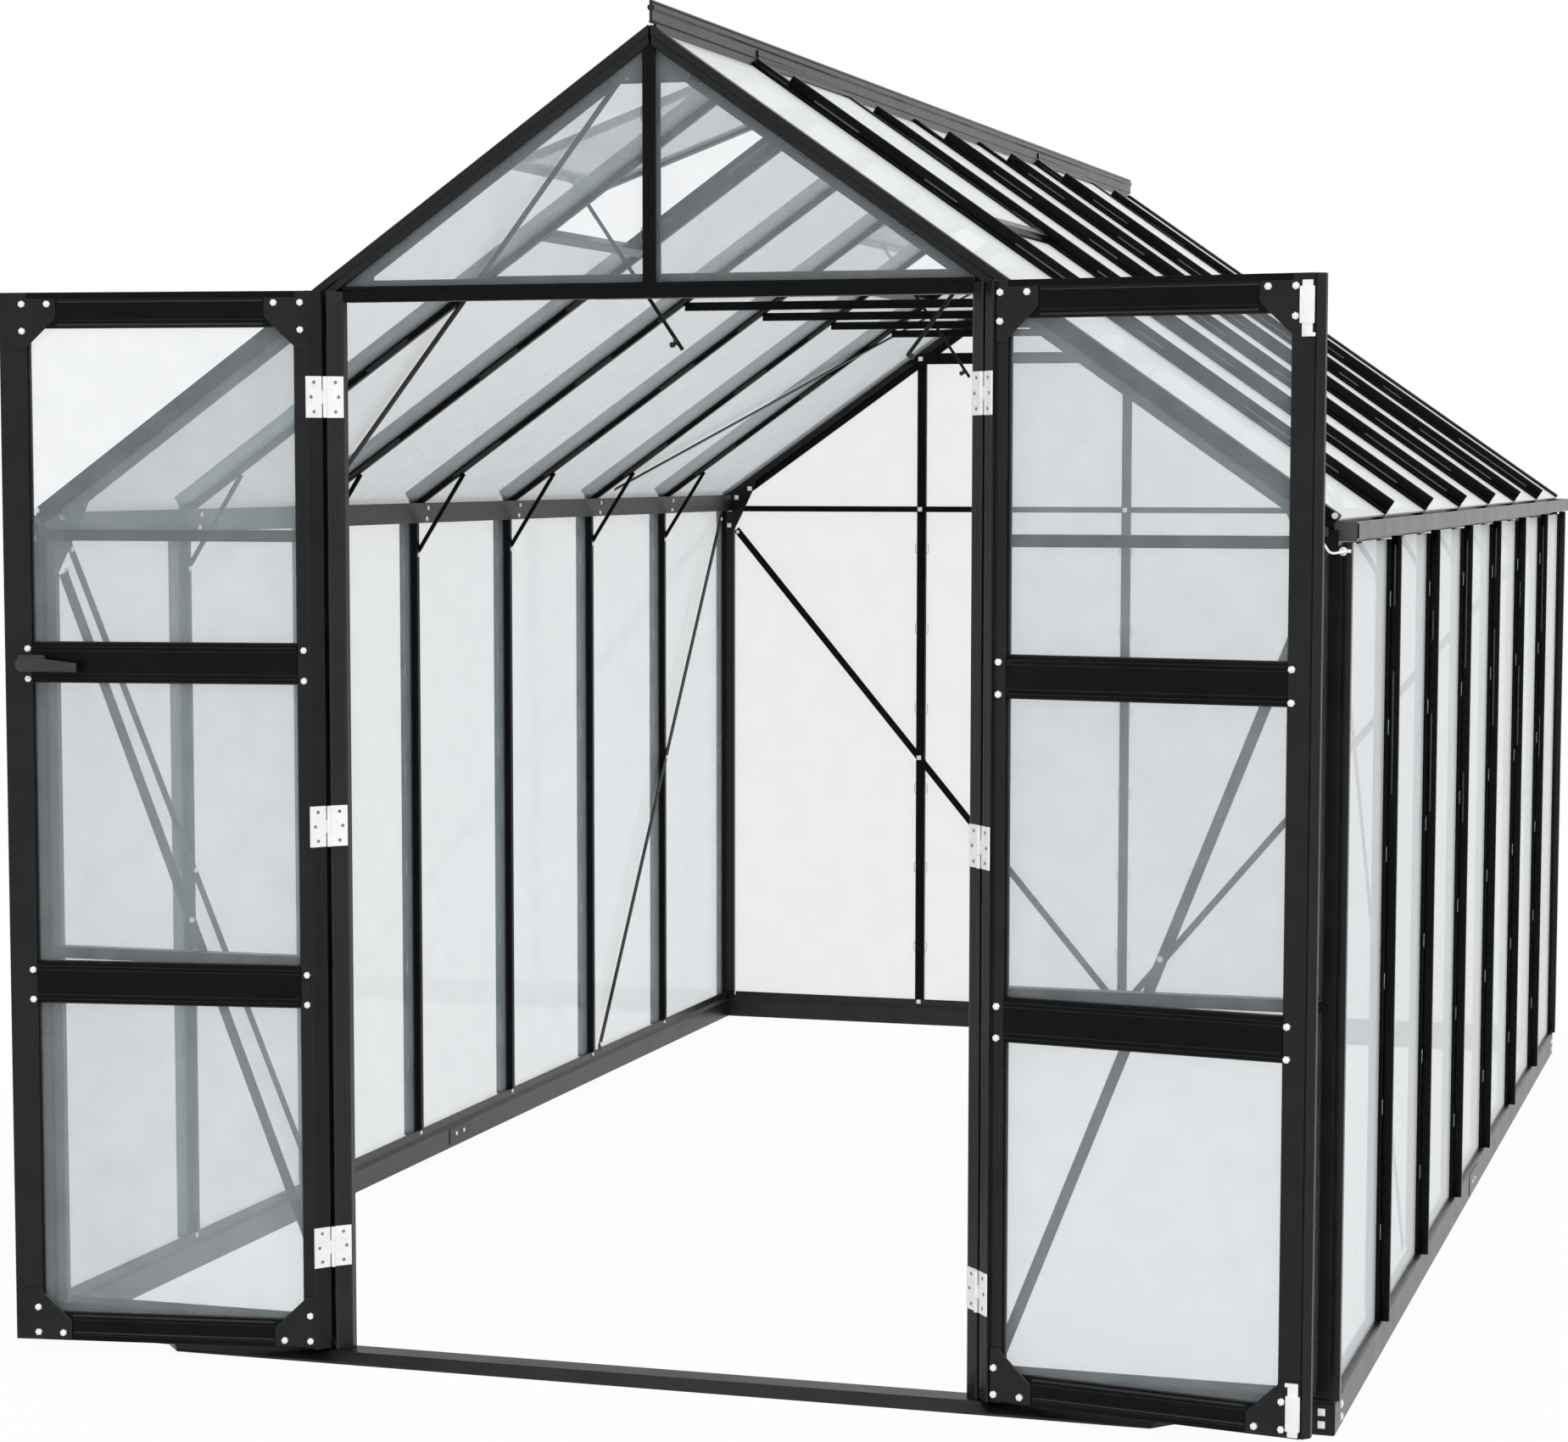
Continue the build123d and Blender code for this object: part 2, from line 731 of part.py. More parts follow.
# Glass of the roof, shorter where a vent lies above it
with BuildPart() as roof_panes:
    for side in sides:
        for index in range(bay_count_long):
            y_from = frame_in if index == 0 else bay * index + web_half
            y_to = length - frame_in if index == bay_count_long - 1 else bay * (index + 1) - web_half
            if index in vent_bays:
                sheet = box_outline(vent_sill_end, roof_end, -roof_cap - glass, -roof_cap)
            else:
                sheet = slope_strip(-roof_cap - glass, -roof_cap)
            down_slope(sheet, side, y_from, y_to)
roof_panes.part.label = "roof_panes"
export_step(roof_panes.part, "parts/roof_panes.step")

# Cross bars that carry the lower edge of each vent
with BuildPart() as vent_sills:
    for side in sides:
        for index in vent_bays:
            sill = box_outline(vent_sill_top, vent_sill_end, -roof_cap - glass, -roof_cap)
            down_slope(sill, side, bay * index + web_half, bay * (index + 1) - web_half)
            stem = box_outline(vent_sill_top, vent_sill_end, -roof_bar_depth, -roof_cap - glass)
            down_slope(stem, side, bay * index + bar_half, bay * (index + 1) - bar_half)
vent_sills.part.label = "vent_sills"
export_step(vent_sills.part, "parts/vent_sills.step")


def sash_plane(side, y):
    """Side view of a vent: raised on the left slope, shut on the right slope."""
    lift = vent_open if side == left else 0.0
    return slope_plane(side, y, lift)


def sash_piece(side, index, along_from, along_to, low, high, inset_from, inset_to):
    """A bar or a sheet of a vent, given along the slope, outwards and across the bay."""
    y_from = bay * index + bar_half + sash_clearance + inset_from
    y_to = bay * index + bar_half + sash_clearance + inset_to
    section = profile(sash_plane(side, y_from), box_outline(along_from, along_to, low, high))
    extrude(section, amount=-side * (y_to - y_from))


sash_width = bay - 2 * (bar_half + sash_clearance)
sash_hinge = (
    (ridge_half, apex_height - 7),
    (ridge_half, apex_height + 21),
    (ridge_half * 2, apex_height + 21),
    (ridge_half * 2, apex_height + 5),
    (16.0, apex_height - 5),
    (12.0, apex_height - 11),
)
with BuildPart() as vent_sashes:
    for side in sides:
        for index in vent_bays:
            for inset in (0.0, sash_width - sash_bar):
                sash_piece(side, index, sash_start, sash_end, sash_low, sash_high, inset, inset + sash_bar)
            for start in (sash_start, sash_end - sash_bar):
                sash_piece(side, index, start, start + sash_bar, sash_low, sash_high, 0.0, sash_width)
            hinge_start = bay * index + bar_half + sash_clearance
            along_y(mirrored_x(sash_hinge, side), hinge_start, hinge_start + sash_width)
vent_sashes.part.label = "vent_sashes"
export_step(vent_sashes.part, "parts/vent_sashes.step")

with BuildPart() as vent_panes:
    for side in sides:
        for index in vent_bays:
            sash_piece(
                side, index, sash_start + sash_bar, sash_end - sash_bar,
                -glass_half, glass_half, sash_bar, sash_width - sash_bar,
            )
vent_panes.part.label = "vent_panes"
export_step(vent_panes.part, "parts/vent_panes.step")

# Stays that hang from a lug under the lower bar of each vent
stay_wide = 8.0
lug_along = (520.0, 534.0)
lug_drop = 14.0
stay_pin = (527.0, -16.0)
raised_stay_run = (-242.0, -353.0)
shut_stay_run = (-187.0, -243.0)
with BuildPart() as vent_stays:
    for side, lift, run in ((left, vent_open, raised_stay_run), (right, 0.0, shut_stay_run)):
        for index in vent_bays:
            y = bay * (index + 0.5)
            lug = box_outline(*lug_along, sash_low - lug_drop, sash_low)
            extrude(profile(slope_plane(side, y - plate / 2, lift), lug), amount=-side * plate)
            head = slope_plane(side, y, lift).from_local_coords(Vector(*stay_pin))
            foot = head + Vector(side * run[0], 0, run[1])
            flat_bar(tuple(head), tuple(foot), (0, 1, 0), stay_wide, plate)
vent_stays.part.label = "vent_stays"
export_step(vent_stays.part, "parts/vent_stays.step")

# Wire hooks on the corner posts that hold the open leaves
hook_x = half_width - 4
hook_height = beam_bottom - 10
hook_wire = 5.0
with BuildPart() as stay_hooks:
    for side in sides:
        washer = Plane(origin=(side * hook_x, -frame_out, hook_height), x_dir=(1, 0, 0), z_dir=(0, -1, 0))
        extrude(disc(washer, 8), amount=4)
        extrude(disc(washer.offset(4), hook_wire / 2), amount=26)
stay_hooks.part.label = "stay_hooks"
export_step(stay_hooks.part, "parts/stay_hooks.step")


def leaf_plane(side, height, opened=open_angle):
    """Plan view of a leaf on its hinge pin, turned to where the leaf stands."""
    turn = side * opened
    return Plane(
        origin=(side * pin_x, pin_y, height),
        x_dir=(cos(turn), sin(turn), 0),
        z_dir=(0, 0, 1),
    )


def leaf_solid(side, points, low, high, opened=open_angle):
    """Stand a plan outline in leaf directions up between two heights."""
    plan = profile(leaf_plane(side, low, opened), tuple((-side * u, v) for u, v in points))
    extrude(plan, amount=high - low)


def leaf_front(side, lift):
    """Plane on the leaf's inside face or in front of it, with u across and height up."""
    turn = side * open_angle
    base = leaf_plane(side, 0)
    origin = Vector(*base.origin) + Vector(-sin(turn), cos(turn), 0) * (leaf_face + lift)
    return Plane(origin=origin, x_dir=base.x_dir, z_dir=base.x_dir.cross(Vector(0, 0, 1)))


def leaf_face_plate(side, points, thick, lift=0.0):
    """A plate on the leaf's inside face or in front of it."""
    drawn = tuple((-side * u, z) for u, z in points)
    extrude(profile(leaf_front(side, lift), drawn), amount=-thick)


hinge_stile = (
    (leaf_hinge_edge, leaf_outside),
    (leaf_hinge_edge, leaf_hinge_edge - leaf_bevel_offset),
    (leaf_bevel_end, leaf_bevel_end - leaf_bevel_offset),
    (leaf_lip_end, leaf_bevel_end - leaf_bevel_offset),
    (leaf_lip_end, leaf_face),
    (stile_inner, leaf_face),
    (stile_inner, leaf_outside),
)
free_stile_plain = (
    (free_stile_inner, leaf_outside),
    (free_stile_inner, leaf_face),
    (leaf_free_edge, leaf_face),
    (leaf_free_edge, leaf_outside),
)
free_stile_strip = (
    (free_stile_inner, leaf_outside),
    (free_stile_inner, leaf_face),
    (free_bevel_start, leaf_face),
    (free_bevel_start, leaf_face - 4),
    (free_bevel_start + 3, leaf_face),
    (leaf_free_edge, leaf_outside + 10),
    (leaf_free_edge, leaf_outside),
)
free_stiles = {left: free_stile_plain, right: free_stile_strip}
gusset_inset = 12.0
gusset_foot_inset = 4.0
gusset_run = 57.0
gusset_square = 35.0
gusset_tall = 89.0
gusset_toe = 7.0
gusset_sheet = 3.0
leaf_names = {left: "left_leaf", right: "right_leaf"}


def make_stiles(side):
    name = leaf_names[side] + "_stiles"
    with BuildPart() as stiles:
        leaf_solid(side, hinge_stile, leaf_bottom, leaf_top)
        leaf_solid(side, free_stiles[side], leaf_bottom, leaf_top)
    stiles.part.label = name
    export_step(stiles.part, f"parts/{name}.step")


def make_rails(side):
    name = leaf_names[side] + "_rails"
    section = box_outline(stile_inner, free_stile_inner, leaf_outside, leaf_face)
    with BuildPart() as rails:
        for low, high in leaf_rails:
            leaf_solid(side, section, low, high)
    rails.part.label = name
    export_step(rails.part, f"parts/{name}.step")


def make_panes(side):
    name = leaf_names[side] + "_panes"
    section = box_outline(stile_inner, free_stile_inner, -glass_half, glass_half)
    with BuildPart() as panes:
        for below, above in zip(leaf_rails, leaf_rails[1:]):
            leaf_solid(side, section, below[1], above[0])
    panes.part.label = name
    export_step(panes.part, f"parts/{name}.step")


def make_gussets(side):
    name = leaf_names[side] + "_gussets"
    with BuildPart() as gussets:
        for edge, stile, inwards in ((leaf_lip_end, stile_inner, 1), (free_bevel_start, free_stile_inner, -1)):
            for level, up in ((leaf_top - gusset_inset, -1), (leaf_bottom + gusset_foot_inset, 1)):
                points = (
                    (edge, level),
                    (stile + inwards * gusset_run, level),
                    (stile + inwards * gusset_run, level + up * gusset_square),
                    (stile, level + up * gusset_tall),
                    (stile, level + up * (gusset_tall + gusset_toe)),
                    (edge, level + up * (gusset_tall + gusset_toe)),
                )
                leaf_face_plate(side, points, gusset_sheet)
    gussets.part.label = name
    export_step(gussets.part, f"parts/{name}.step")


def bevel_strip(normal_from, normal_to, along_from, along_to, away):
    """Strip beside the pin on a 45 degree face; away is +1 on the door post, -1 on the leaf."""
    def place(normal, along):
        return ((along - away * normal) / 2 ** 0.5, (along + away * normal) / 2 ** 0.5)
    return (
        place(normal_from, along_from),
        place(normal_to, along_from),
        place(normal_to, along_to),
        place(normal_from, along_to),
    )


post_bevel_distance = (-(pin_x - doorway_half) + (-frame_out - pin_y)) / 2 ** 0.5
leaf_bevel_distance = leaf_bevel_offset / 2 ** 0.5
knuckle_third = hinge_tall / 3


def hinge_half(side, distance, away, opened, own_parts, with_pin):
    """One half of a butt hinge for every height: sheet, knuckles and, on the fixed half, the pin."""
    inner = distance - hinge_sheet
    for middle in hinge_heights:
        low = middle - hinge_tall / 2
        sheet = bevel_strip(inner, distance, knuckle_clearance, hinge_wide, away)
        leaf_solid(side, sheet, low, low + hinge_tall, opened)
        for part_index in own_parts:
            part_low = low + knuckle_third * part_index + knuckle_gap / 2
            part_high = part_low + knuckle_third - knuckle_gap
            link = bevel_strip(inner, distance - 1, 0, knuckle_clearance, away)
            leaf_solid(side, link, part_low, part_high, opened)
            extrude(disc(leaf_plane(side, part_low, opened), knuckle_radius), amount=part_high - part_low)
        if with_pin:
            extrude(disc(leaf_plane(side, low, opened), pin_radius), amount=hinge_tall)
        else:
            bore = disc(leaf_plane(side, low, opened), pin_radius + pin_clearance)
            extrude(bore, amount=hinge_tall, mode=Mode.SUBTRACT)


with BuildPart() as hinge_plates_fixed:
    for side in sides:
        hinge_half(side, post_bevel_distance, 1, 0.0, (0, 2), True)
hinge_plates_fixed.part.label = "hinge_plates_fixed"
export_step(hinge_plates_fixed.part, "parts/hinge_plates_fixed.step")


def make_hinges(side):
    name = leaf_names[side] + "_hinges"
    with BuildPart() as hinges:
        hinge_half(side, leaf_bevel_distance, -1, open_angle, (1,), False)
    hinges.part.label = name
    export_step(hinges.part, f"parts/{name}.step")


for side in sides:
    make_stiles(side)
    make_rails(side)
    make_panes(side)
    make_gussets(side)
    make_hinges(side)

# Lever handle on the left leaf: an oblong rose, a round neck and a tapered lever towards the hinge
handle_height = (leaf_rails[2][0] + leaf_rails[2][1]) / 2
handle_root = leaf_free_edge - 38
rose_long = 58.0
rose_tall = 30.0
rose_thick = 8.0
neck_radius = 9.0
lever_lift = 24.0
lever_thick = 9.0
lever_long = 104.0
lever_root_half = 14.0
lever_tip_half = 7.5
lever_drop = 7.0
with BuildPart() as left_leaf_handle:
    rose = box_outline(
        handle_root + lever_root_half - rose_long, handle_root + lever_root_half,
        handle_height - rose_tall / 2, handle_height + rose_tall / 2,
    )
    leaf_face_plate(left, rose, rose_thick)
    root = leaf_front(left, rose_thick)
    neck = Plane(
        origin=root.from_local_coords(Vector(handle_root, handle_height, 0)),
        x_dir=root.x_dir, z_dir=root.z_dir,
    )
    extrude(disc(neck, neck_radius), amount=rose_thick - lever_lift)
    lever = (
        (handle_root + lever_root_half, handle_height - lever_tip_half),
        (handle_root + lever_root_half, handle_height + lever_tip_half),
        (handle_root + lever_tip_half, handle_height + lever_root_half),
        (handle_root - lever_tip_half, handle_height + lever_root_half),
        (handle_root - lever_long, handle_height - lever_drop + lever_tip_half),
        (handle_root - lever_long, handle_height - lever_drop - lever_tip_half),
        (handle_root - lever_root_half, handle_height - lever_root_half),
        (handle_root + lever_tip_half, handle_height - lever_root_half),
    )
    leaf_face_plate(left, lever, lever_thick, lift=lever_lift)
left_leaf_handle.part.label = "left_leaf_handle"
export_step(left_leaf_handle.part, "parts/left_leaf_handle.step")

# Flat tower bolts on the corner plates of the right leaf's free stile: a channel with its slide
bolt_middle = leaf_free_edge - 25
guide_half = 12.0
guide_tall = 62.0
guide_thick = 8.0
slide_half = 9.0
slide_thick = 5.0
slide_head = 10.0
slide_tail = 22.0
finger_half = 14.0
finger_tall = 7.0
with BuildPart() as right_leaf_bolts:
    for tip, inwards in ((leaf_top - gusset_inset, -1), (leaf_bottom + gusset_foot_inset, 1)):
        guide_from = tip + inwards * slide_head
        guide_to = guide_from + inwards * guide_tall
        tail = guide_to + inwards * slide_tail
        guide = box_outline(bolt_middle - guide_half, bolt_middle + guide_half, guide_from, guide_to)
        leaf_face_plate(right, guide, guide_thick, lift=gusset_sheet)
        slide = box_outline(bolt_middle - slide_half, bolt_middle + slide_half, tip, tail)
        leaf_face_plate(right, slide, slide_thick, lift=gusset_sheet)
        finger = box_outline(bolt_middle - finger_half, bolt_middle, tail - inwards * finger_tall, tail)
        leaf_face_plate(right, finger, slide_thick, lift=gusset_sheet)
right_leaf_bolts.part.label = "right_leaf_bolts"
export_step(right_leaf_bolts.part, "parts/right_leaf_bolts.step")
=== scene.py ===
"""Looks of a gable-roofed glass greenhouse with two folded-back door leaves.

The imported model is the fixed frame. This script gives its pieces their finishes and
adds the small fittings: nuts, screws, glazing clips, gaskets, handle, bolts and hooks.
All places below are in millimetres in the model's own frame and are turned to metres
when a piece is set down.
"""

import json
from math import cos, hypot, radians, sin

import bmesh
import bpy
from bpy.props import FloatProperty, FloatVectorProperty, IntProperty, PointerProperty, StringProperty
from mathutils import Matrix, Vector


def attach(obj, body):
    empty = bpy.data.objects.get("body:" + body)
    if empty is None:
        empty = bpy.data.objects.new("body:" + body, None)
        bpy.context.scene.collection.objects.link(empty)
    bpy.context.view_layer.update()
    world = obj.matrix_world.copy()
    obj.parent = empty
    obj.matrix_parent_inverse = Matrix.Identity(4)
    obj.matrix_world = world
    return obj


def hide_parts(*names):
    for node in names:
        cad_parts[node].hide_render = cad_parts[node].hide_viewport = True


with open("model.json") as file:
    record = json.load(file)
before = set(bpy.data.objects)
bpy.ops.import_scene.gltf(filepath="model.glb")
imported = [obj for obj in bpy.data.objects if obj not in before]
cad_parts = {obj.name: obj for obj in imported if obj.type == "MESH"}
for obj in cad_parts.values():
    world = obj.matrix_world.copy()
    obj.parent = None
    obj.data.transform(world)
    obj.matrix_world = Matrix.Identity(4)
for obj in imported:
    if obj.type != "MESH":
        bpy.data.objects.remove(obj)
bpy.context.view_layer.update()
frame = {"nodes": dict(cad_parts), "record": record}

bl_info = {
    "name": "Greenhouse Looks",
    "version": (1, 0, 0),
    "blender": (4, 5, 0),
    "location": "View3D > Sidebar > Greenhouse",
    "description": "Finishes and fittings of a gable-roofed glass greenhouse",
    "category": "Add Mesh",
}

MM = 0.001

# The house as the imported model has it
BAY = 620.0
HALF_WIDTH = 1240.0
LENGTH = 4340.0
APEX = 2469.0
EAVE = 1600.0
SLOPE = (APEX - EAVE) / HALF_WIDTH
SLOPE_LENGTH = hypot(1.0, SLOPE)
GRID_ROWS = [BAY * k for k in range(1, 7)]
GRID_COLUMNS = (-BAY, 0.0, BAY)
VENT_BAYS = (1, 5)
SIDES = (-1, 1)
LEAVES = {"left_leaf": -1, "right_leaf": 1}
TO_DOOR = (0, -1, 0)
TO_REAR = (0, 1, 0)
# Inner faces of the plates on the two gables
FRONT_INSIDE = 20.8
REAR_INSIDE = LENGTH - 20.8
# Foot and head of the cover strips on the wall bars
COVER_FOOT = 61.0
COVER_HEAD = 1553.0

# Door leaves: u from the hinge pin to the free edge, v from the pin to the inside face
PIN_X = 621.0
PIN_Y = -44.0
OPEN_ANGLE = radians(170.85)
LEAF_FACE = 12.5
LEAF_BACK = -14.0
LEAF_PLATE = LEAF_FACE + 3.0
LEAF_BANDS = ((77.0, 675.0), (750.0, 1281.0), (1352.0, 1940.0))
STILE_INNER = 54.0
FREE_STILE_INNER = 565.0
HINGE_HEIGHTS = (220.0, 1014.5, 1809.0)

# Share of a run along a 45 degree face that goes along each axis
DIAGONAL = 2 ** -0.5
# Eighth of a full turn that sets a square nut upright, and the corners of a square by its side
SQUARE_TURN = 0.785
SQUARE_CORNERS = 1.414

DARK_SLOT = "dark_frame"
GLASS_SLOT = "clear_glass"
ZINC_SLOT = "zinc_fitting"
PLASTIC_SLOT = "black_plastic"

COAT = "powder_coated_aluminium"
SHADED_COAT = "painted_shade_coated_aluminium"
LIT_COAT = "painted_light_coated_aluminium"
ZINC = "bright_zinc_plated_steel"
STEEL_AND_SHADE = "spring_steel_and_painted_shade"
NYLON = "moulded_black_nylon"
RUBBER = "extruded_black_epdm"
GREY_PVC_AND_HIGHLIGHT = "grey_pvc_and_painted_highlight"

# Bars that look darker between the panes and across the leaves; the darker copy of the coat on them is
# painted shade
SHADED_NODES = ("side_posts", "roof_bars", "rear_mullions", "gable_mullion", "door_head_rail",
              "collar_ties", "rear_tie_rails", "knee_braces", "wall_braces", "roof_braces",
              "left_leaf_rails", "right_leaf_rails")
# Bars that catch more of the daylight; the lighter, shinier copy of the coat on them is painted light
LIT_NODES = ("door_posts", "base_rails_side", "base_rail_rear", "eave_beams", "ridge", "door_sill")


# Placing ---------------------------------------------------------------------------


def active():
    return bpy.context.view_layer.objects.active


def only(*pieces):
    """Select these pieces alone; the first one is the active one."""
    bpy.ops.object.select_all(action="DESELECT")
    for piece in pieces:
        piece.select_set(True)
    bpy.context.view_layer.objects.active = pieces[0]


def metres(point):
    return Vector(point) * MM


def facing(point, direction, turn=0.0):
    """Matrix that sets a piece modelled along +Z on a point, looking along a direction."""
    aim = Vector(direction).to_track_quat("Z", "Y").to_matrix().to_4x4()
    return Matrix.Translation(metres(point)) @ aim @ Matrix.Rotation(turn, 4, "Z")


def set_axes(x_axis, y_axis, z_axis, point):
    """Matrix that turns a piece's own axes to three directions and sets it on a point."""
    axes = Matrix.Identity(4)
    for column, direction in enumerate((x_axis, y_axis, z_axis, metres(point))):
        axes.col[column].xyz = direction
    return axes


def leaf_axes(side):
    """World directions of a leaf's u and v at rest."""
    turn = side * OPEN_ANGLE
    along = Vector((-side * cos(turn), -side * sin(turn), 0))
    outwards = Vector((-sin(turn), cos(turn), 0))
    return along, outwards


def on_leaf(side, u, v, z):
    """World place of a point of a leaf, in millimetres."""
    along, outwards = leaf_axes(side)
    return Vector((side * PIN_X, PIN_Y, z)) + along * u + outwards * v


def on_leaf_slant(side, run, off, z):
    """World place beside the diagonal of a leaf's slanting hinge face, a run away from the pin."""
    return on_leaf(side, (run + off) * DIAGONAL, (run - off) * DIAGONAL, z)


def on_post_slant(side, run, off, z):
    """World place beside the diagonal of a door post's slanting face, a run away from the pin."""
    return Vector((side * (PIN_X - (run - off) * DIAGONAL), PIN_Y + (run + off) * DIAGONAL, z))


def roof_height(x, depth=0.0):
    """Height of the line a given depth under the rafters' outer line."""
    return APEX - abs(x) * SLOPE - depth * SLOPE_LENGTH


def on_slope(side, down, out, y):
    """World place of a point of the roof: along the slope from the apex, outwards, and in depth."""
    level = 1.0 / SLOPE_LENGTH
    drop = SLOPE / SLOPE_LENGTH
    x = side * (down * level + out * drop)
    return Vector((x, y, APEX - down * drop + out * level))


def slope_axes(side, y, down=0.0, out=0.0):
    """Matrix that lays a piece on the roof, its X down the slope and its Z outwards."""
    fall = (on_slope(side, 1.0, 0.0, 0.0) - on_slope(side, 0.0, 0.0, 0.0)).normalized()
    across = Vector((0, side, 0))
    return set_axes(fall, across, fall.cross(across), on_slope(side, down, out, y))


def put(piece, place):
    piece.matrix_world = place
    return piece


def fixed(piece):
    """Take a piece's place, turn and scale up into its mesh."""
    only(piece)
    bpy.ops.object.transform_apply(location=True, rotation=True, scale=True)
    return piece


def joined(pieces):
    only(*pieces)
    if len(pieces) > 1:
        bpy.ops.object.join()
    return active()


def settle(pieces, name, finish, body, angle=35.0):
    """Join modelled pieces at the origin and give the whole its name, finish, slot and body."""
    piece = fixed(joined(pieces))
    bpy.ops.object.shade_smooth_by_angle(angle=radians(angle))
    piece.name = name
    piece.data.name = name
    piece.data.materials.clear()
    piece.data.materials.append(bpy.data.materials[finish])
    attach(piece, body)
    return piece


def copy_to(source, places):
    """Copies of a modelled piece, each with its own mesh; the source goes."""
    made = []
    for place in places:
        one = source.copy()
        one.data = source.data.copy()
        bpy.context.scene.collection.objects.link(one)
        made.append(put(one, place))
    bpy.data.objects.remove(source)
    return made


def edit(piece, mode="FACE"):
    """Open a piece in edit mode with nothing selected."""
    only(piece)
    bpy.ops.object.mode_set(mode="EDIT")
    bpy.ops.mesh.select_mode(type=mode)
    bpy.ops.mesh.select_all(action="DESELECT")


def edit_top(piece):
    """Open a piece in edit mode with only its upward faces selected."""
    edit(piece)
    shape = bmesh.from_edit_mesh(piece.data)
    for face in shape.faces:
        if face.normal.z > 0.9:
            face.select_set(True)
    bmesh.update_edit_mesh(piece.data)


def done():
    bpy.ops.object.mode_set(mode="OBJECT")
    return active()


def bevel_edges(piece, test, width, segments=2):
    """Round the edges whose two ends pass the test, by a width in millimetres."""
    edit(piece, "EDGE")
    shape = bmesh.from_edit_mesh(piece.data)
    for one in shape.edges:
        if test(one.verts[0].co, one.verts[1].co):
            one.select_set(True)
    bmesh.update_edit_mesh(piece.data)
    bpy.ops.mesh.bevel(offset=width * MM, segments=segments, affect="EDGES")
    return done()


def block(low, high, round_by, segments=1):
    """A bar or plate between two corners with rounded edges."""
    low, high = metres(low), metres(high)
    bpy.ops.object.select_all(action="DESELECT")
    bpy.ops.mesh.primitive_cube_add(size=1.0, location=(low + high) / 2)
    piece = active()
    piece.scale = [abs(one) for one in high - low]
    bpy.ops.object.transform_apply(location=True, rotation=False, scale=True)
    if not round_by:
        return piece
    return bevel_edges(piece, lambda a, b: True, round_by, segments)


def side_block(side, low, high, round_by, segments):
    """A block given on the right side of the house, or its mirror image on the left."""
    x0, x1 = sorted((side * low[0], side * high[0]))
    return block((x0, *low[1:]), (x1, *high[1:]), round_by, segments)


def cylinder(corners, radius, tall):
    """A plain cylinder standing on the origin, its sizes in metres."""
    bpy.ops.object.select_all(action="DESELECT")
    bpy.ops.mesh.primitive_cylinder_add(
        vertices=corners, radius=radius, depth=tall, location=(0, 0, tall / 2))
    bpy.ops.object.transform_apply(location=True, rotation=False, scale=False)
    return active()


def round_bar(radius, tall, corners, round_by):
    """An upright pin on the origin with its top rim rounded."""
    top = tall * MM
    piece = cylinder(corners, radius * MM, top)
    return bevel_edges(piece, lambda a, b: min(a.z, b.z) > top - 1e-6, round_by)


def wire(points, radius, smooth=False):
    """A bent round wire through the points, as a closed mesh."""
    line = bpy.data.curves.new("wire", "CURVE")
    line.dimensions = "3D"
    line.bevel_depth = radius * MM
    line.bevel_resolution = 1
    line.use_fill_caps = True
    run = line.splines.new("POLY")
    run.points.add(len(points) - 1)
    for spot, point in zip(run.points, points):
        spot.co = (*metres(point), 1.0)
    if smooth:
        run.type = "NURBS"
        run.order_u = 3
        run.use_endpoint_u = True
        run.resolution_u = 4
    piece = bpy.data.objects.new("wire", line)
    bpy.context.scene.collection.objects.link(piece)
    only(piece)
    bpy.ops.object.convert(target="MESH")
    return active()


# Finishes --------------------------------------------------------------------------


def linear(code):
    """Turn an sRGB hex colour into the linear values a shader takes."""
    shares = [int(code[k:k + 2], 16) / 255 for k in (1, 3, 5)]
    return [s / 12.92 if s <= 0.04045 else ((s + 0.055) / 1.055) ** 2.4 for s in shares] + [1.0]


def add_node(tree, kind, values=None, links=None, steps=(), **settings):
    """Add a node, set its fields, its sockets and its ramp, and link other nodes' outputs into it."""
    made = tree.nodes.new(kind)
    for field, value in settings.items():
        setattr(made, field, value)
    for socket, value in (values or {}).items():
        made.inputs[socket].default_value = value
    for socket, source in (links or {}).items():
        tree.links.new(source, made.inputs[socket])
    for index, (position, colour) in enumerate(steps):
        made.color_ramp.elements[index].position = position
        made.color_ramp.elements[index].color = linear(colour)
    return made


def blank_finish(name):
    finish = bpy.data.materials.new(name)
    finish.use_nodes = True
    finish.node_tree.nodes.clear()
    return finish, finish.node_tree


def opaque_finish(name, tones, cloud, grain, gloss, skin, settings, spots=False):
    """Finish whose tones drift in clouds and whose grain dents the skin; spots also wear its gloss."""
    finish, tree = blank_finish(name)
    place = {"Vector": add_node(tree, "ShaderNodeTexCoord").outputs["Object"]}
    kind = "ShaderNodeTexVoronoi" if spots else "ShaderNodeTexNoise"
    fine = add_node(tree, kind, grain, place).outputs["Distance" if spots else "Fac"]
    drift = add_node(tree, "ShaderNodeTexNoise", cloud, place).outputs["Fac"]
    colour = add_node(tree, "ShaderNodeValToRGB", links={"Fac": drift},
                      steps=((0.3, tones[0]), (0.7, tones[1])))
    rough = add_node(tree, "ShaderNodeMapRange", {"To Min": gloss[0], "To Max": gloss[1]},
                     {"Value": fine if spots else drift})
    dents = add_node(tree, "ShaderNodeBump", {"Strength": skin[0], "Distance": skin[1]}, {"Height": fine})
    shader = add_node(tree, "ShaderNodeBsdfPrincipled", settings,
                      {"Base Color": colour.outputs["Color"], "Roughness": rough.outputs["Result"],
                       "Normal": dents.outputs["Normal"]})
    add_node(tree, "ShaderNodeOutputMaterial", links={"Surface": shader.outputs["BSDF"]})
    return finish


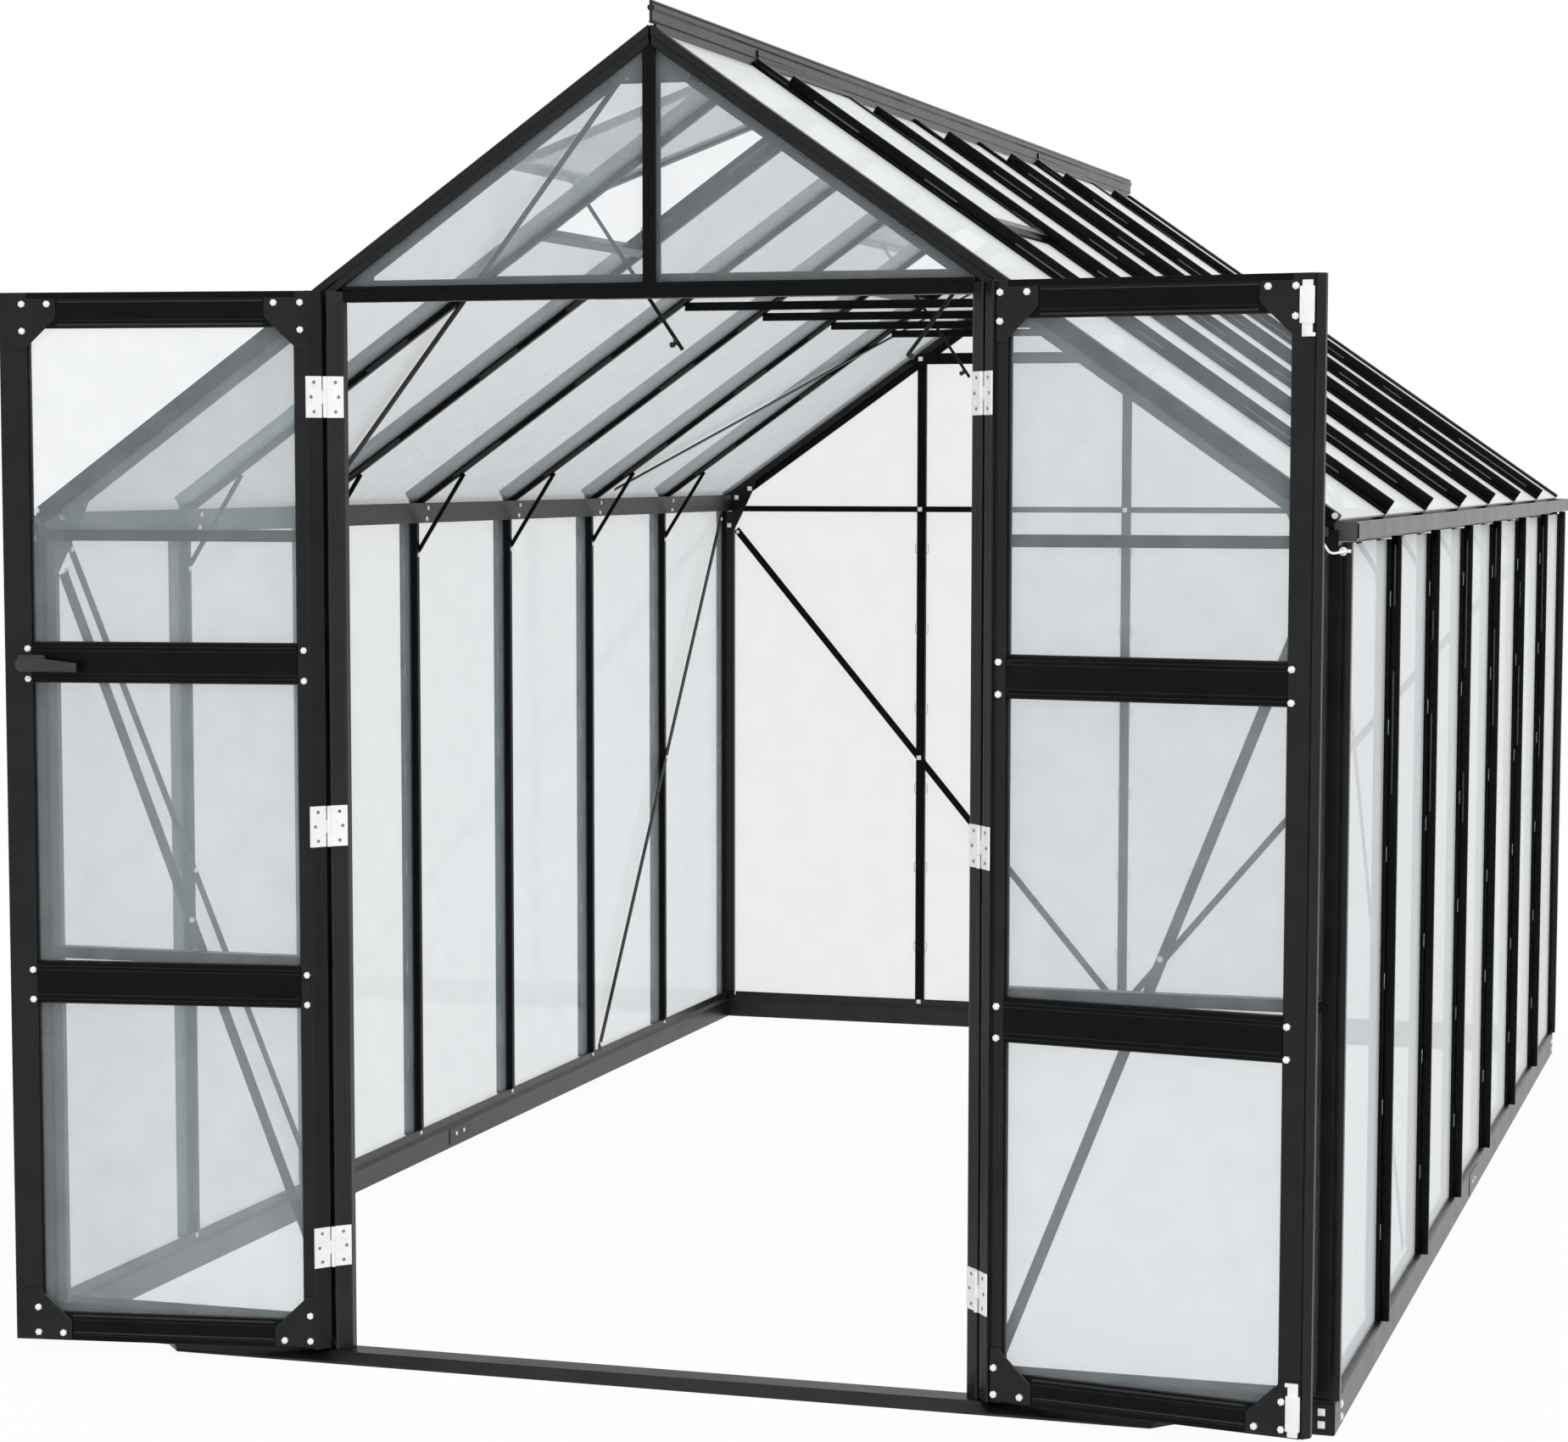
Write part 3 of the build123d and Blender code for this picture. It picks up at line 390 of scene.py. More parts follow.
def coated_aluminium(name, dark, light, shine, roughness):
    # Extruded aluminium with a satin black polyester powder coat: near black with a fine
    # orange-peel skin that breaks up the reflections and a slightly uneven gloss.
    # The coat builds up unevenly over a hand's width, 80 mm, and peels in cells of about
    # 1.2 mm, drawn at 2.5 mm so that they show.
    return opaque_finish(
        name, (dark, light), cloud={"Scale": 12.0, "Detail": 2.0},
        grain={"Scale": 400.0, "Detail": 3.0, "Roughness": 0.6}, gloss=(roughness - 0.05, roughness + 0.07),
        skin=(0.12, 0.0003), settings={"IOR": 1.5, "Specular IOR Level": shine})


def plated_steel(name, dark, light, metal):
    # Bright plated or blank steel: silvery metal with a soft grain in spots of 3 mm.
    return opaque_finish(
        name, (dark, light), cloud={"Scale": 60.0, "Detail": 2.0}, grain={"Scale": 330.0},
        gloss=(0.28, 0.42), skin=(0.05, 0.0002), settings={"Metallic": metal}, spots=True)


def moulded_plastic(name, dark, light, roughness):
    # Moulded nylon or PVC: matt, with the fine spark-eroded grain of the mould, about 0.6 mm,
    # drawn at 1.5 mm so that it shows.
    return opaque_finish(
        name, (dark, light), cloud={"Scale": 30.0, "Detail": 1.0}, grain={"Scale": 660.0, "Detail": 2.0},
        gloss=(roughness - 0.06, roughness + 0.06), skin=(0.2, 0.0002), settings={"IOR": 1.5})


def safety_glass(tones):
    # Clear 4 mm toughened glass: smooth and faintly blue-grey, it veils what lies behind it
    # a little and mirrors the surroundings at a low angle, where its colour is also painted lighter as a
    # painted reflection.
    finish, tree = blank_finish("toughened_glass")
    spot = {"Vector": add_node(tree, "ShaderNodeTexCoord").outputs["Object"]}
    # Roller waves of toughening are 200 mm apart, with a film of dust in 60 mm patches
    waves = add_node(tree, "ShaderNodeTexNoise", {"Scale": 5.0, "Detail": 0.0}, spot)
    film = add_node(tree, "ShaderNodeTexNoise", {"Scale": 16.0, "Detail": 2.0, "Roughness": 0.55}, spot)
    tint = add_node(tree, "ShaderNodeValToRGB", links={"Fac": film.outputs["Fac"]},
                    steps=((0.3, tones.glass_dark), (0.7, tones.glass_light)))
    smear = add_node(tree, "ShaderNodeMapRange", {"To Min": 0.02, "To Max": 0.07},
                     {"Value": film.outputs["Fac"]})
    ripple = add_node(tree, "ShaderNodeBump", {"Strength": 0.04, "Distance": 0.001},
                      {"Height": waves.outputs["Fac"]})
    # Glass mirrors more the lower one looks across it, with the fifth power of the angle's share
    low_angle = add_node(tree, "ShaderNodeLayerWeight", {"Blend": 0.5})
    mirror = add_node(tree, "ShaderNodeMath", {1: 5.0}, {0: low_angle.outputs["Facing"]},
                      operation="POWER")
    hiding = add_node(tree, "ShaderNodeMapRange", {"To Min": tones.glass_veil, "To Max": 1.0},
                      {"Value": mirror.outputs[0]})
    # Across the pane the film scatters daylight, which blurs the mirror image of the bars
    reflection_and_blur_share = add_node(tree, "ShaderNodeMapRange", {"From Min": 0.1, "From Max": 0.6},
                    {"Value": mirror.outputs[0]})
    blur = add_node(tree, "ShaderNodeMath", {1: 0.6},
                    {0: reflection_and_blur_share.outputs["Result"], 2: smear.outputs["Result"]}, operation="MULTIPLY_ADD")
    # Towards a low angle the base colour turns to the low-angle tone: a painted reflection of the bright
    # surroundings, over the glass's own mirror
    painted_reflection_colour = add_node(tree, "ShaderNodeMix", {7: linear(tones.glass_painted_reflection)},
                   {0: reflection_and_blur_share.outputs["Result"], 6: tint.outputs["Color"]}, data_type="RGBA")
    shader = add_node(tree, "ShaderNodeBsdfPrincipled", {"IOR": 1.52, "Specular IOR Level": 0.35},
                      {"Base Color": painted_reflection_colour.outputs[2], "Roughness": blur.outputs[0],
                       "Alpha": hiding.outputs["Result"], "Normal": ripple.outputs["Normal"]})
    add_node(tree, "ShaderNodeOutputMaterial", links={"Surface": shader.outputs["BSDF"]})
    return finish


# Sizes and colours a user would change ---------------------------------------------


class GreenhouseLooks(bpy.types.PropertyGroup):
    coat_dark: StringProperty(
        name="Coat, dark", description="Darker tone of the powder coat, sRGB hex", default="#0b0b0c")
    coat_light: StringProperty(
        name="Coat, light", description="Lighter tone of the powder coat, sRGB hex", default="#141415")
    coat_roughness: FloatProperty(
        name="Coat roughness", description="Mean roughness of the powder coat",
        default=0.29, min=0.1, max=1.0, subtype="FACTOR")
    glass_dark: StringProperty(
        name="Glass, dark", description="Darker tone of the veil on the glass, sRGB hex",
        default="#b9c5cc")
    glass_light: StringProperty(
        name="Glass, light", description="Lighter tone of the veil on the glass, sRGB hex",
        default="#d0dae0")
    # Lighter tone the glass is painted at a low angle: a painted reflection of the bright surroundings
    glass_painted_reflection: StringProperty(
        name="Glass, low angle", description="Tone of the glass seen from the side, sRGB hex",
        default="#e6e9ea")
    glass_veil: FloatProperty(
        name="Glass veil", description="How much one face of a pane hides what lies behind",
        default=0.14, min=0.02, max=0.6, subtype="FACTOR")
    zinc_dark: StringProperty(
        name="Zinc, dark", description="Darker tone of the zinc plating, sRGB hex", default="#f1f2f3")
    zinc_light: StringProperty(
        name="Zinc, light", description="Lighter tone of the zinc plating, sRGB hex", default="#fbfbfb")


class GreenhouseFittings(bpy.types.PropertyGroup):
    nut_across: FloatProperty(
        name="Nut corners", description="Nut size across the corners",
        default=0.013, min=0.006, max=0.03, unit="LENGTH")
    nut_tall: FloatProperty(
        name="Nut height", description="Height of a nut",
        default=0.005, min=0.002, max=0.012, unit="LENGTH")
    square_nut: FloatProperty(
        name="Square nut", description="Side of a square nut",
        default=0.0125, min=0.006, max=0.03, unit="LENGTH")
    screw_head: FloatProperty(
        name="Screw head", description="Width of a hinge screw's head",
        default=0.0064, min=0.003, max=0.012, unit="LENGTH")
    clip_wire: FloatProperty(
        name="Clip wire", description="Thickness of the glazing clips' wire",
        default=0.0018, min=0.001, max=0.004, unit="LENGTH")
    clips_per_bar: IntProperty(
        name="Clips on a bar", description="Glazing clips along each side of a wall bar",
        default=6, min=1, max=10)


class GreenhouseStage(bpy.types.PropertyGroup):
    floor_colour: FloatVectorProperty(
        name="Floor", description="Colour of the plain floor", subtype="COLOR",
        size=3, default=(0.9, 0.9, 0.9), min=0.0, max=1.0)
    sky_level: FloatProperty(
        name="Sky level", description="How strongly the surroundings light the house",
        default=0.8, min=0.0, max=2.0)
    lamp_level: FloatProperty(
        name="Lamp level", description="Strength of the soft key lamp",
        default=1.1, min=0.0, max=5.0)


def looks():
    return bpy.context.scene.greenhouse_looks


def fittings():
    return bpy.context.scene.greenhouse_fittings


# Templates of the fasteners, modelled along +Z on the origin -----------------------


def nut(corners, across, tall):
    """A nut with a chamfered top and its bolt's end in the middle, its sizes in metres."""
    edit_top(cylinder(corners, across / 2, tall))
    bpy.ops.mesh.inset(thickness=across * 0.06)
    bpy.ops.transform.translate(value=(0, 0, tall * 0.18))
    bpy.ops.mesh.inset(thickness=across * 0.14)
    bpy.ops.transform.translate(value=(0, 0, -0.3 * MM))
    return joined([done(), round_bar(across / MM * 0.22, tall / MM * 1.45, corners=12, round_by=0.5)])


def dome(radius, tall):
    """A round bolt head on a thin flange."""
    edit_top(cylinder(16, radius * MM, 0.8 * MM))
    for step, inset in ((0.35, 0.06), (0.35, 0.16), (0.2, 0.3)):
        bpy.ops.mesh.extrude_region_move(TRANSFORM_OT_translate={"value": (0, 0, tall * MM * step)})
        bpy.ops.mesh.inset(thickness=radius * MM * inset)
    return done()


def screw(width):
    """A countersunk screw head, slightly proud, with a recess for the driver; width in metres."""
    radius = width / 2
    edit_top(cylinder(16, radius, 0.5 * MM))
    bpy.ops.mesh.inset(thickness=radius * 0.12)
    bpy.ops.transform.translate(value=(0, 0, 0.25 * MM))
    bpy.ops.mesh.inset(thickness=radius * 0.42)
    bpy.ops.mesh.extrude_region_move(TRANSFORM_OT_translate={"value": (0, 0, -1.2 * MM)})
    bpy.ops.transform.resize(value=(0.5, 0.5, 1.0))
    return done()


# Pieces ----------------------------------------------------------------------------


def soften(node):
    """Round the sharp edges of an extrusion a little, so that they catch the light."""
    weld = node.modifiers.new("weld", "WELD")
    weld.merge_threshold = 0.00002
    flat = node.modifiers.new("flat", "DECIMATE")
    flat.decimate_type = "DISSOLVE"
    flat.angle_limit = radians(0.5)
    edge = node.modifiers.new("edge", "BEVEL")
    edge.width = 0.0009
    edge.segments = 1
    edge.limit_method = "ANGLE"
    edge.angle_limit = radians(40.0)


class GREENHOUSE_OT_finishes(bpy.types.Operator):
    """Make the finishes and give each piece of the frame its own"""

    bl_idname = "greenhouse.finishes"
    bl_label = "Finishes"

    def execute(self, context):
        tones = looks()
        rough = tones.coat_roughness
        by_slot = {
            DARK_SLOT: coated_aluminium(COAT, tones.coat_dark, tones.coat_light, shine=0.26, roughness=rough),
            GLASS_SLOT: safety_glass(tones),
            ZINC_SLOT: plated_steel(ZINC, tones.zinc_dark, tones.zinc_light, metal=0.3),
            PLASTIC_SLOT: moulded_plastic(NYLON, "#202021", "#2c2c2d", roughness=0.45),
        }
        # A darker copy of the same coat: painted shade on the bars listed above
        shaded_coat = coated_aluminium(SHADED_COAT, "#040405", "#0a0a0b", shine=0.1, roughness=rough + 0.04)
        # A lighter, shinier copy of the same coat: painted light on the bars listed above
        lit_coat = coated_aluminium(LIT_COAT, "#131314", "#1d1d1e", shine=0.34, roughness=rough + 0.03)
        by_node = dict.fromkeys(SHADED_NODES, shaded_coat) | dict.fromkeys(LIT_NODES, lit_coat)
        # Grey steel of the glazing clips, also on the hinge screws, where its darkness is painted shade in
        # their countersinks
        plated_steel(STEEL_AND_SHADE, "#77797b", "#96989a", metal=0.8)
        moulded_plastic(RUBBER, "#0d0d0e", "#161617", roughness=0.62)
        # Grey PVC of the gutter end caps, also laid in strips on the bar covers as painted highlights
        moulded_plastic(GREY_PVC_AND_HIGHLIGHT, "#3a3b3d", "#48494b", roughness=0.45)
        for part in frame["record"]["subparts"]:
            name, slot = part["node"], part["material_slot"]
            node = frame["nodes"][name]
            node.data.materials.clear()
            node.data.materials.append(by_node.get(name, by_slot[slot]))
            if slot == DARK_SLOT:
                soften(node)
        return {"FINISHED"}


class GREENHOUSE_OT_leaf_nuts(bpy.types.Operator):
    """Hexagon nuts on the corner plates and rail ends of both leaves, and bolt heads on their backs"""

    bl_idname = "greenhouse.leaf_nuts"
    bl_label = "Leaf nuts"

    def execute(self, context):
        hinge_stile, free_stile = 41.0, 572.5
        spots = []
        for level, near in ((1981.4, 1931.7), (41.7, 89.8)):
            spots += [(u, z, LEAF_PLATE) for u, z in (
                (hinge_stile, level), (hinge_stile, near), (91.0, level),
                (free_stile, level), (free_stile, near), (524.0, level))]
        for level in (1342.0, 1285.5, 736.0, 680.0):
            spots += [(hinge_stile, level, LEAF_FACE), (free_stile, level, LEAF_FACE)]
        for leaf, side in LEAVES.items():
            along, outwards = leaf_axes(side)
            fronts = [facing(on_leaf(side, u, v - 0.2, z), outwards, turn=0.3 * k)
                      for k, (u, z, v) in enumerate(spots)]
            nuts = copy_to(nut(6, fittings().nut_across, fittings().nut_tall), fronts)
            settle(nuts, f"{leaf}_nuts", ZINC, leaf)
            backs = [facing(on_leaf(side, u, LEAF_BACK + 0.2, z), -outwards) for u, z, v in spots]
            settle(copy_to(dome(6.0, 2.4), backs), f"{leaf}_bolt_heads", ZINC, leaf)
        return {"FINISHED"}


class GREENHOUSE_OT_frame_nuts(bpy.types.Operator):
    """Square nuts on the plates of the two gables, the base corners and the rear wall"""

    bl_idname = "greenhouse.frame_nuts"
    bl_label = "Frame nuts"

    def execute(self, context):
        apex = ((-20.0, 2409.0), (20.0, 2409.0), (-59.0, 2381.0), (59.0, 2381.0))
        eave_front = ((1152.0, 1613.0), (1193.0, 1586.0))
        eave_inside = ((1152.0, 1613.0), (1194.0, 1586.0), (1214.0, 1550.0), (1217.0, 1502.0))
        head = (580.0, 2014.0)
        front = 18.2
        spots = []
        for x, z in apex:
            spots += [(x, front, z, TO_DOOR), (x, FRONT_INSIDE, z, TO_REAR), (x, REAR_INSIDE, z, TO_DOOR)]
        for side in SIDES:
            spots += [(side * x, front, z, TO_DOOR) for x, z in (*eave_front, head)]
            for x, z in eave_inside:
                spots += [(side * x, FRONT_INSIDE, z, TO_REAR), (side * x, REAR_INSIDE, z, TO_DOOR)]
            spots.append((side * head[0], FRONT_INSIDE, head[1], TO_REAR))
            for z in (19.6, 41.9):
                spots += [(side * 1233.0, -14.8, z, TO_DOOR), (side * 1254.8, 50.0, z, (side, 0, 0)),
                          (side * 1254.8, LENGTH - 50.0, z, (side, 0, 0))]
        for x in GRID_COLUMNS:
            spots += [(x, REAR_INSIDE, 1552.5, TO_DOOR), (x, REAR_INSIDE, 1998.0, TO_DOOR),
                      (x, LENGTH - 11.8, 69.5, TO_DOOR)]
        spots += [(x, REAR_INSIDE, 809.0, TO_DOOR) for x in (-BAY, BAY)]
        places = [facing(spot, look, turn=SQUARE_TURN) for *spot, look in spots]
        square = nut(4, fittings().square_nut * SQUARE_CORNERS, fittings().nut_tall * 0.9)
        settle(copy_to(square, places), "frame_square_nuts", ZINC, "frame")
        return {"FINISHED"}


class GREENHOUSE_OT_wall_bolts(bpy.types.Operator):
    """Round bolt heads along the eave beams, post feet, braces, collar ties and rafter ends"""

    bl_idname = "greenhouse.wall_bolts"
    bl_label = "Wall bolts"

    def execute(self, context):
        front = 17.8
        places = []
        for side in SIDES:
            inwards, outwards = (-side, 0, 0), (side, 0, 0)
            spots = []
            for y in GRID_ROWS:
                spots += [(1206.2, y + 22.0, 1582.0, inwards), (1206.2, y + 13.0, 1556.0, inwards),
                          (1222.2, y, 1470.0, inwards), (1228.2, y, 69.5, inwards),
                          (1220.0, y + 11.8, 1487.0, TO_REAR), (1114.0, y + 11.8, 1653.0, TO_REAR)]
            for start, step in ((0.0, 1), (LENGTH, -1)):
                spots += [(1219.2, start + step * run, z, inwards)
                          for run, z in ((620.0, 842.0), (1197.0, 92.0), (97.0, 1522.0))]
            spots += [(1219.8, 2070.0, 31.0, inwards), (1219.8, 2119.0, 31.0, inwards),
                      (1254.8, 2206.0, 30.0, outwards), (1254.8, 2252.0, 30.0, outwards),
                      (1233.0, -11.8, 1598.0, TO_DOOR), (1233.0, LENGTH + 11.2, 1598.0, TO_REAR),
                      (1190.0, FRONT_INSIDE, 1482.0, TO_REAR), (1190.0, REAR_INSIDE, 1482.0, TO_DOOR),
                      (655.0, front, 100.0, TO_DOOR), (934.0, front, 820.0, TO_DOOR),
                      (20.0, front, 2407.0, TO_DOOR), (53.5, front, 2379.0, TO_DOOR)]
            places += [facing((side * x, y, z), look) for x, y, z, look in spots]
        settle(copy_to(dome(5.5, 3.2), places), "wall_bolt_heads", ZINC, "frame")
        return {"FINISHED"}


class GREENHOUSE_OT_hinge_screws(bpy.types.Operator):
    """Countersunk screws of the butt hinges, three in each half"""

    bl_idname = "greenhouse.hinge_screws"
    bl_label = "Hinge screws"

    def execute(self, context):
        pattern = ((22.0, 27.0), (28.0, 0.0), (22.0, -27.0))
        head = fittings().screw_head
        on_posts = []
        for leaf, side in LEAVES.items():
            along, outwards = leaf_axes(side)
            on_leaves = []
            for middle in HINGE_HEIGHTS:
                for run, rise in pattern:
                    on_posts.append(facing(on_post_slant(side, run, 2.72, middle + rise), (-side, -1, 0)))
                    spot = on_leaf_slant(side, run, 2.42, middle + rise)
                    on_leaves.append(facing(spot, outwards - along))
            # The hinge screw heads take the grey steel, darker than the white hinges: painted shade in their
            # countersinks
            settle(copy_to(screw(head), on_leaves), f"{leaf}_hinge_screws", STEEL_AND_SHADE, leaf)
        settle(copy_to(screw(head), on_posts), "fixed_hinge_screws", STEEL_AND_SHADE, "frame")
        return {"FINISHED"}


class GREENHOUSE_OT_door_handle(bpy.types.Operator):
    """Lever handle of the left leaf with its rounded rose, on the photo's place"""

    bl_idname = "greenhouse.door_handle"
    bl_label = "Door handle"

    def execute(self, context):
        side = LEAVES["left_leaf"]
        along, outwards = leaf_axes(side)
        rose = block((-17.0, -11.0, 0.0), (36.0, 18.0, 8.0), 3.4, 3)
        neck = round_bar(9.0, 25.0, corners=24, round_by=1.0)
        lever = block((-13.0, -12.5, 24.0), (104.0, 13.0, 33.0), 0)
        edit(lever)
        for cut in (0.0, 30.0, 48.0, 76.0):
            bpy.ops.mesh.select_all(action="SELECT")
            bpy.ops.mesh.bisect(plane_co=(cut * MM, 0, 0), plane_no=(1, 0, 0))
        done()
        # The grip narrows and thins over its last 74 mm
        for corner in lever.data.vertices:
            run = max(0.0, corner.co.x / MM - 30.0) / 74.0
            if corner.co.y > 0:
                corner.co.y -= 9.0 * MM * run
            if corner.co.z > 28.0 * MM:
                corner.co.z -= 1.5 * MM * run
        end = -12.9 * MM
        lever = bevel_edges(lever, lambda a, b: a.x < end and b.x < end and abs(a.z - b.z) > 4 * MM, 10.0, 5)
        lever = bevel_edges(lever, lambda a, b: min(a.z, b.z) > 29.0 * MM and (a - b).length > 0.5 * MM
                            and not (abs(a.x - b.x) < 0.1 * MM and 0.0 <= a.x < 103.0 * MM), 2.0, 3)
        root = on_leaf(side, 574.0, LEAF_FACE, 1312.5)
        handle = put(joined([lever, rose, neck]), set_axes(-along, Vector((0, 0, 1)), outwards, root))
        handle = settle([handle], "lever_handle", NYLON, "left_leaf", 50.0)
        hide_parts("left_leaf_handle")
        return {"FINISHED"}


class GREENHOUSE_OT_tower_bolts(bpy.types.Operator):
    """Flat tower bolts at the head and foot of the right leaf's free stile"""

    bl_idname = "greenhouse.tower_bolts"
    bl_label = "Tower bolts"

    def execute(self, context):
        side = LEAVES["right_leaf"]
        along, outwards = leaf_axes(side)
        made = []
        for tip, inwards in ((1991.0, -1), (30.0, 1)):
            parts = [
                block((-12.0, 10.0, 0.0), (12.0, 72.0, 7.6), 1.2, 2),
                block((-9.0, 0.0, 0.2), (9.0, 94.0, 5.2), 1.0, 2),
                block((-14.0, 87.0, 0.2), (4.0, 94.0, 6.4), 1.6, 3),
                block((9.6, 10.6, 0.0), (12.4, 71.4, 8.0), 0.8, 2),
            ]
            for y in (24.0, 60.0):
                stud = round_bar(2.6, 8.2, corners=14, round_by=0.4)
                parts.append(put(stud, Matrix.Translation(metres((0.0, y, 0.0)))))
            up = Vector((0, 0, inwards))
            place = set_axes(up.cross(outwards), up, outwards, on_leaf(side, 593.0, LEAF_PLATE, tip))
            made.append(fixed(put(fixed(joined(parts)), place)))
        bolts = settle(made, "tower_bolts", ZINC, "right_leaf", 40.0)
        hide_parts("right_leaf_bolts")
        return {"FINISHED"}


class GREENHOUSE_OT_stay_hooks(bpy.types.Operator):
    """Bent wire hooks at the front corners that hold the open leaves"""

    bl_idname = "greenhouse.stay_hooks"
    bl_label = "Stay hooks"

    def execute(self, context):
        path = ((1258.0, -17.0, 1538.0), (1248.0, -20.0, 1537.0), (1229.0, -38.0, 1533.0),
                (1221.0, -44.0, 1550.0), (1214.0, -74.0, 1560.0), (1208.0, -104.0, 1560.0),
                (1206.0, -110.0, 1550.0))
        made = []
        for side in SIDES:
            made.append(wire([(side * x, y, z) for x, y, z in path], 2.2, smooth=True))
            washer = round_bar(7.5, 1.6, corners=20, round_by=0.4)
            end = round_bar(3.2, 7.0, corners=12, round_by=0.8)
            for piece, x, y, z, look in ((washer, 1248.0, -11.8, 1537.5, TO_DOOR),
                                         (nut(6, 0.011, 0.004), 1248.0, -13.2, 1537.5, TO_DOOR),
                                         (end, 1255.0, -17.2, 1538.0, (side, 0, 0))):
                made.append(fixed(put(piece, facing((side * x, y, z), look))))
        hooks = settle(made, "wire_stay_hooks", ZINC, "frame", 50.0)
        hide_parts("stay_hooks")
        return {"FINISHED"}


class GREENHOUSE_OT_glazing_clips(bpy.types.Operator):
    """Spring wire clips that press the wall and gable glass against its bars"""

    bl_idname = "greenhouse.glazing_clips"
    bl_label = "Glazing clips"

    def execute(self, context):
        shape = ((0.0, 15.0, 0.6), (4.5, 13.5, 0.8), (6.5, 10.5, 0.9), (6.5, -10.5, 0.9),
                 (4.5, -13.5, 0.8), (0.0, -15.0, 0.6))
        clip = wire(shape, fittings().clip_wire / MM / 2)
        levels = [235.0 + 240.0 * k for k in range(fittings().clips_per_bar)]
        gable_front = (86.0, 285.0, 480.0)
        gable_rear = (*gable_front, 760.0, 960.0, 1140.0)
        glass = 2.0
        places = []

        def lay(point, normal, away):
            """Set a clip on the glass with its bow pointing away from the bar."""
            normal = Vector(normal)
            away = Vector(away).normalized()
            places.append(set_axes(away, normal.cross(away), normal, point))

        for z in levels:
            for step in (-1, 1):
                for y in GRID_ROWS:
                    lay((-1250.0, y + step * 13.0, z), (-1, 0, 0), (0, step, 0))
                    lay((1250.0, y + step * 13.0, z), (1, 0, 0), (0, step, 0))
                for x in GRID_COLUMNS:
                    lay((x + step * 13.0, LENGTH + glass, z), TO_REAR, (step, 0, 0))
        for z in (2096.0, 2312.0):
            for step in (-1, 1):
                lay((step * 12.0, -glass, z), TO_DOOR, (step, 0, 0))
        for side in SIDES:
            for x in gable_rear:
                z = roof_height(x, 31.0)
                if x in gable_front:
                    lay((side * x, -glass, z), TO_DOOR, (-side * SLOPE, 0, -1))
                lay((side * x, LENGTH + glass, z), TO_REAR, (-side * SLOPE, 0, -1))
        settle(copy_to(clip, places), "wire_glazing_clips", STEEL_AND_SHADE, "frame", 60.0)
        return {"FINISHED"}


class GREENHOUSE_OT_roof_strips(bpy.types.Operator):
    """Black strips that hold the roof glass down along the bars, on the inside"""

    bl_idname = "greenhouse.roof_strips"
    bl_label = "Roof strips"

    def execute(self, context):
        runs = ((150.0, 215.0), (300.0, 365.0), (620.0, 760.0), (900.0, 1010.0), (1240.0, 1390.0))
        strips = []
        for side in SIDES:
            for y in GRID_ROWS:
                for start, end in runs:
                    half = (end - start) / 2
                    for step in (-1, 1):
                        strip = block((-half, -3.0, -6.5), (half, 3.0, -0.1), 1.2, 2)
                        place = slope_axes(side, y + step * 11.0, (start + end) / 2, -16.0)
                        strips.append(put(strip, place))
        settle(strips, "roof_glazing_strips", RUBBER, "frame")
        return {"FINISHED"}


class GREENHOUSE_OT_bar_covers(bpy.types.Operator):
    """Outer cover strips on the glazing bars of the walls and the roof, with grey strips along them as
    painted highlights
    """

    bl_idname = "greenhouse.bar_covers"
    bl_label = "Bar covers"

    def execute(self, context):
        covers, corners, highlight_strips = [], [], []
        # Runs of grey strips on the black covers: painted highlights, the broken gleam along the covers
        wall_highlight_runs = (((1421.0, 1536.0), (1070.0, 1300.0)), ((1330.0, 1390.0), (980.0, 1180.0)),
                 ((1240.0, 1520.0), (900.0, 1010.0)))
        roof_highlight_runs = ((150.0, 260.0), (420.0, 500.0), (640.0, 800.0), (930.0, 990.0), (1180.0, 1400.0))
        half = 7.0
        for side in SIDES:
            for number, y in enumerate(GRID_ROWS):
                covers.append(side_block(side, (1249.6, y - half, COVER_FOOT),
                                         (1268.4, y + half, COVER_HEAD), 2.4, 3))
                for low, high in wall_highlight_runs[number % 3]:
                    highlight_strips.append(side_block(side, (1256.0, y - 8.0, low), (1258.4, y - 6.5, high), 0.6, 3))
            for y in (-11.0, LENGTH - 9.0):
                corners.append(side_block(side, (1245.6, y, COVER_FOOT), (1263.0, y + 20.0, COVER_HEAD),
                                          2.0, 3))
            for number, y in enumerate(GRID_ROWS):
                place = slope_axes(side, y)
                covers.append(put(block((86.0, -half, -0.4), (1515.8, half, 22.0), 2.4, 3), place))
                shift = 37.0 * (number % 3)
                for start, end in roof_highlight_runs:
                    for low, high in ((-8.2, -6.5), (6.5, 8.2)):
                        highlight_strip = block((start + shift, low, 3.0), (end + shift, high, 7.0), 0.6, 1)
                        highlight_strips.append(put(highlight_strip, place))
        for x in GRID_COLUMNS:
            covers.append(block((x - half, LENGTH + 9.6, COVER_FOOT), (x + half, LENGTH + 14.6, 1980.0),
                                1.4, 3))
        # The bar covers take the darker copy of the coat: painted shade
        settle(covers, "glazing_bar_covers", SHADED_COAT, "frame", 50.0)
        settle(corners, "corner_post_covers", COAT, "frame", 50.0)
        settle(highlight_strips, "cover_painted_highlight_strips", GREY_PVC_AND_HIGHLIGHT, "frame")
        return {"FINISHED"}


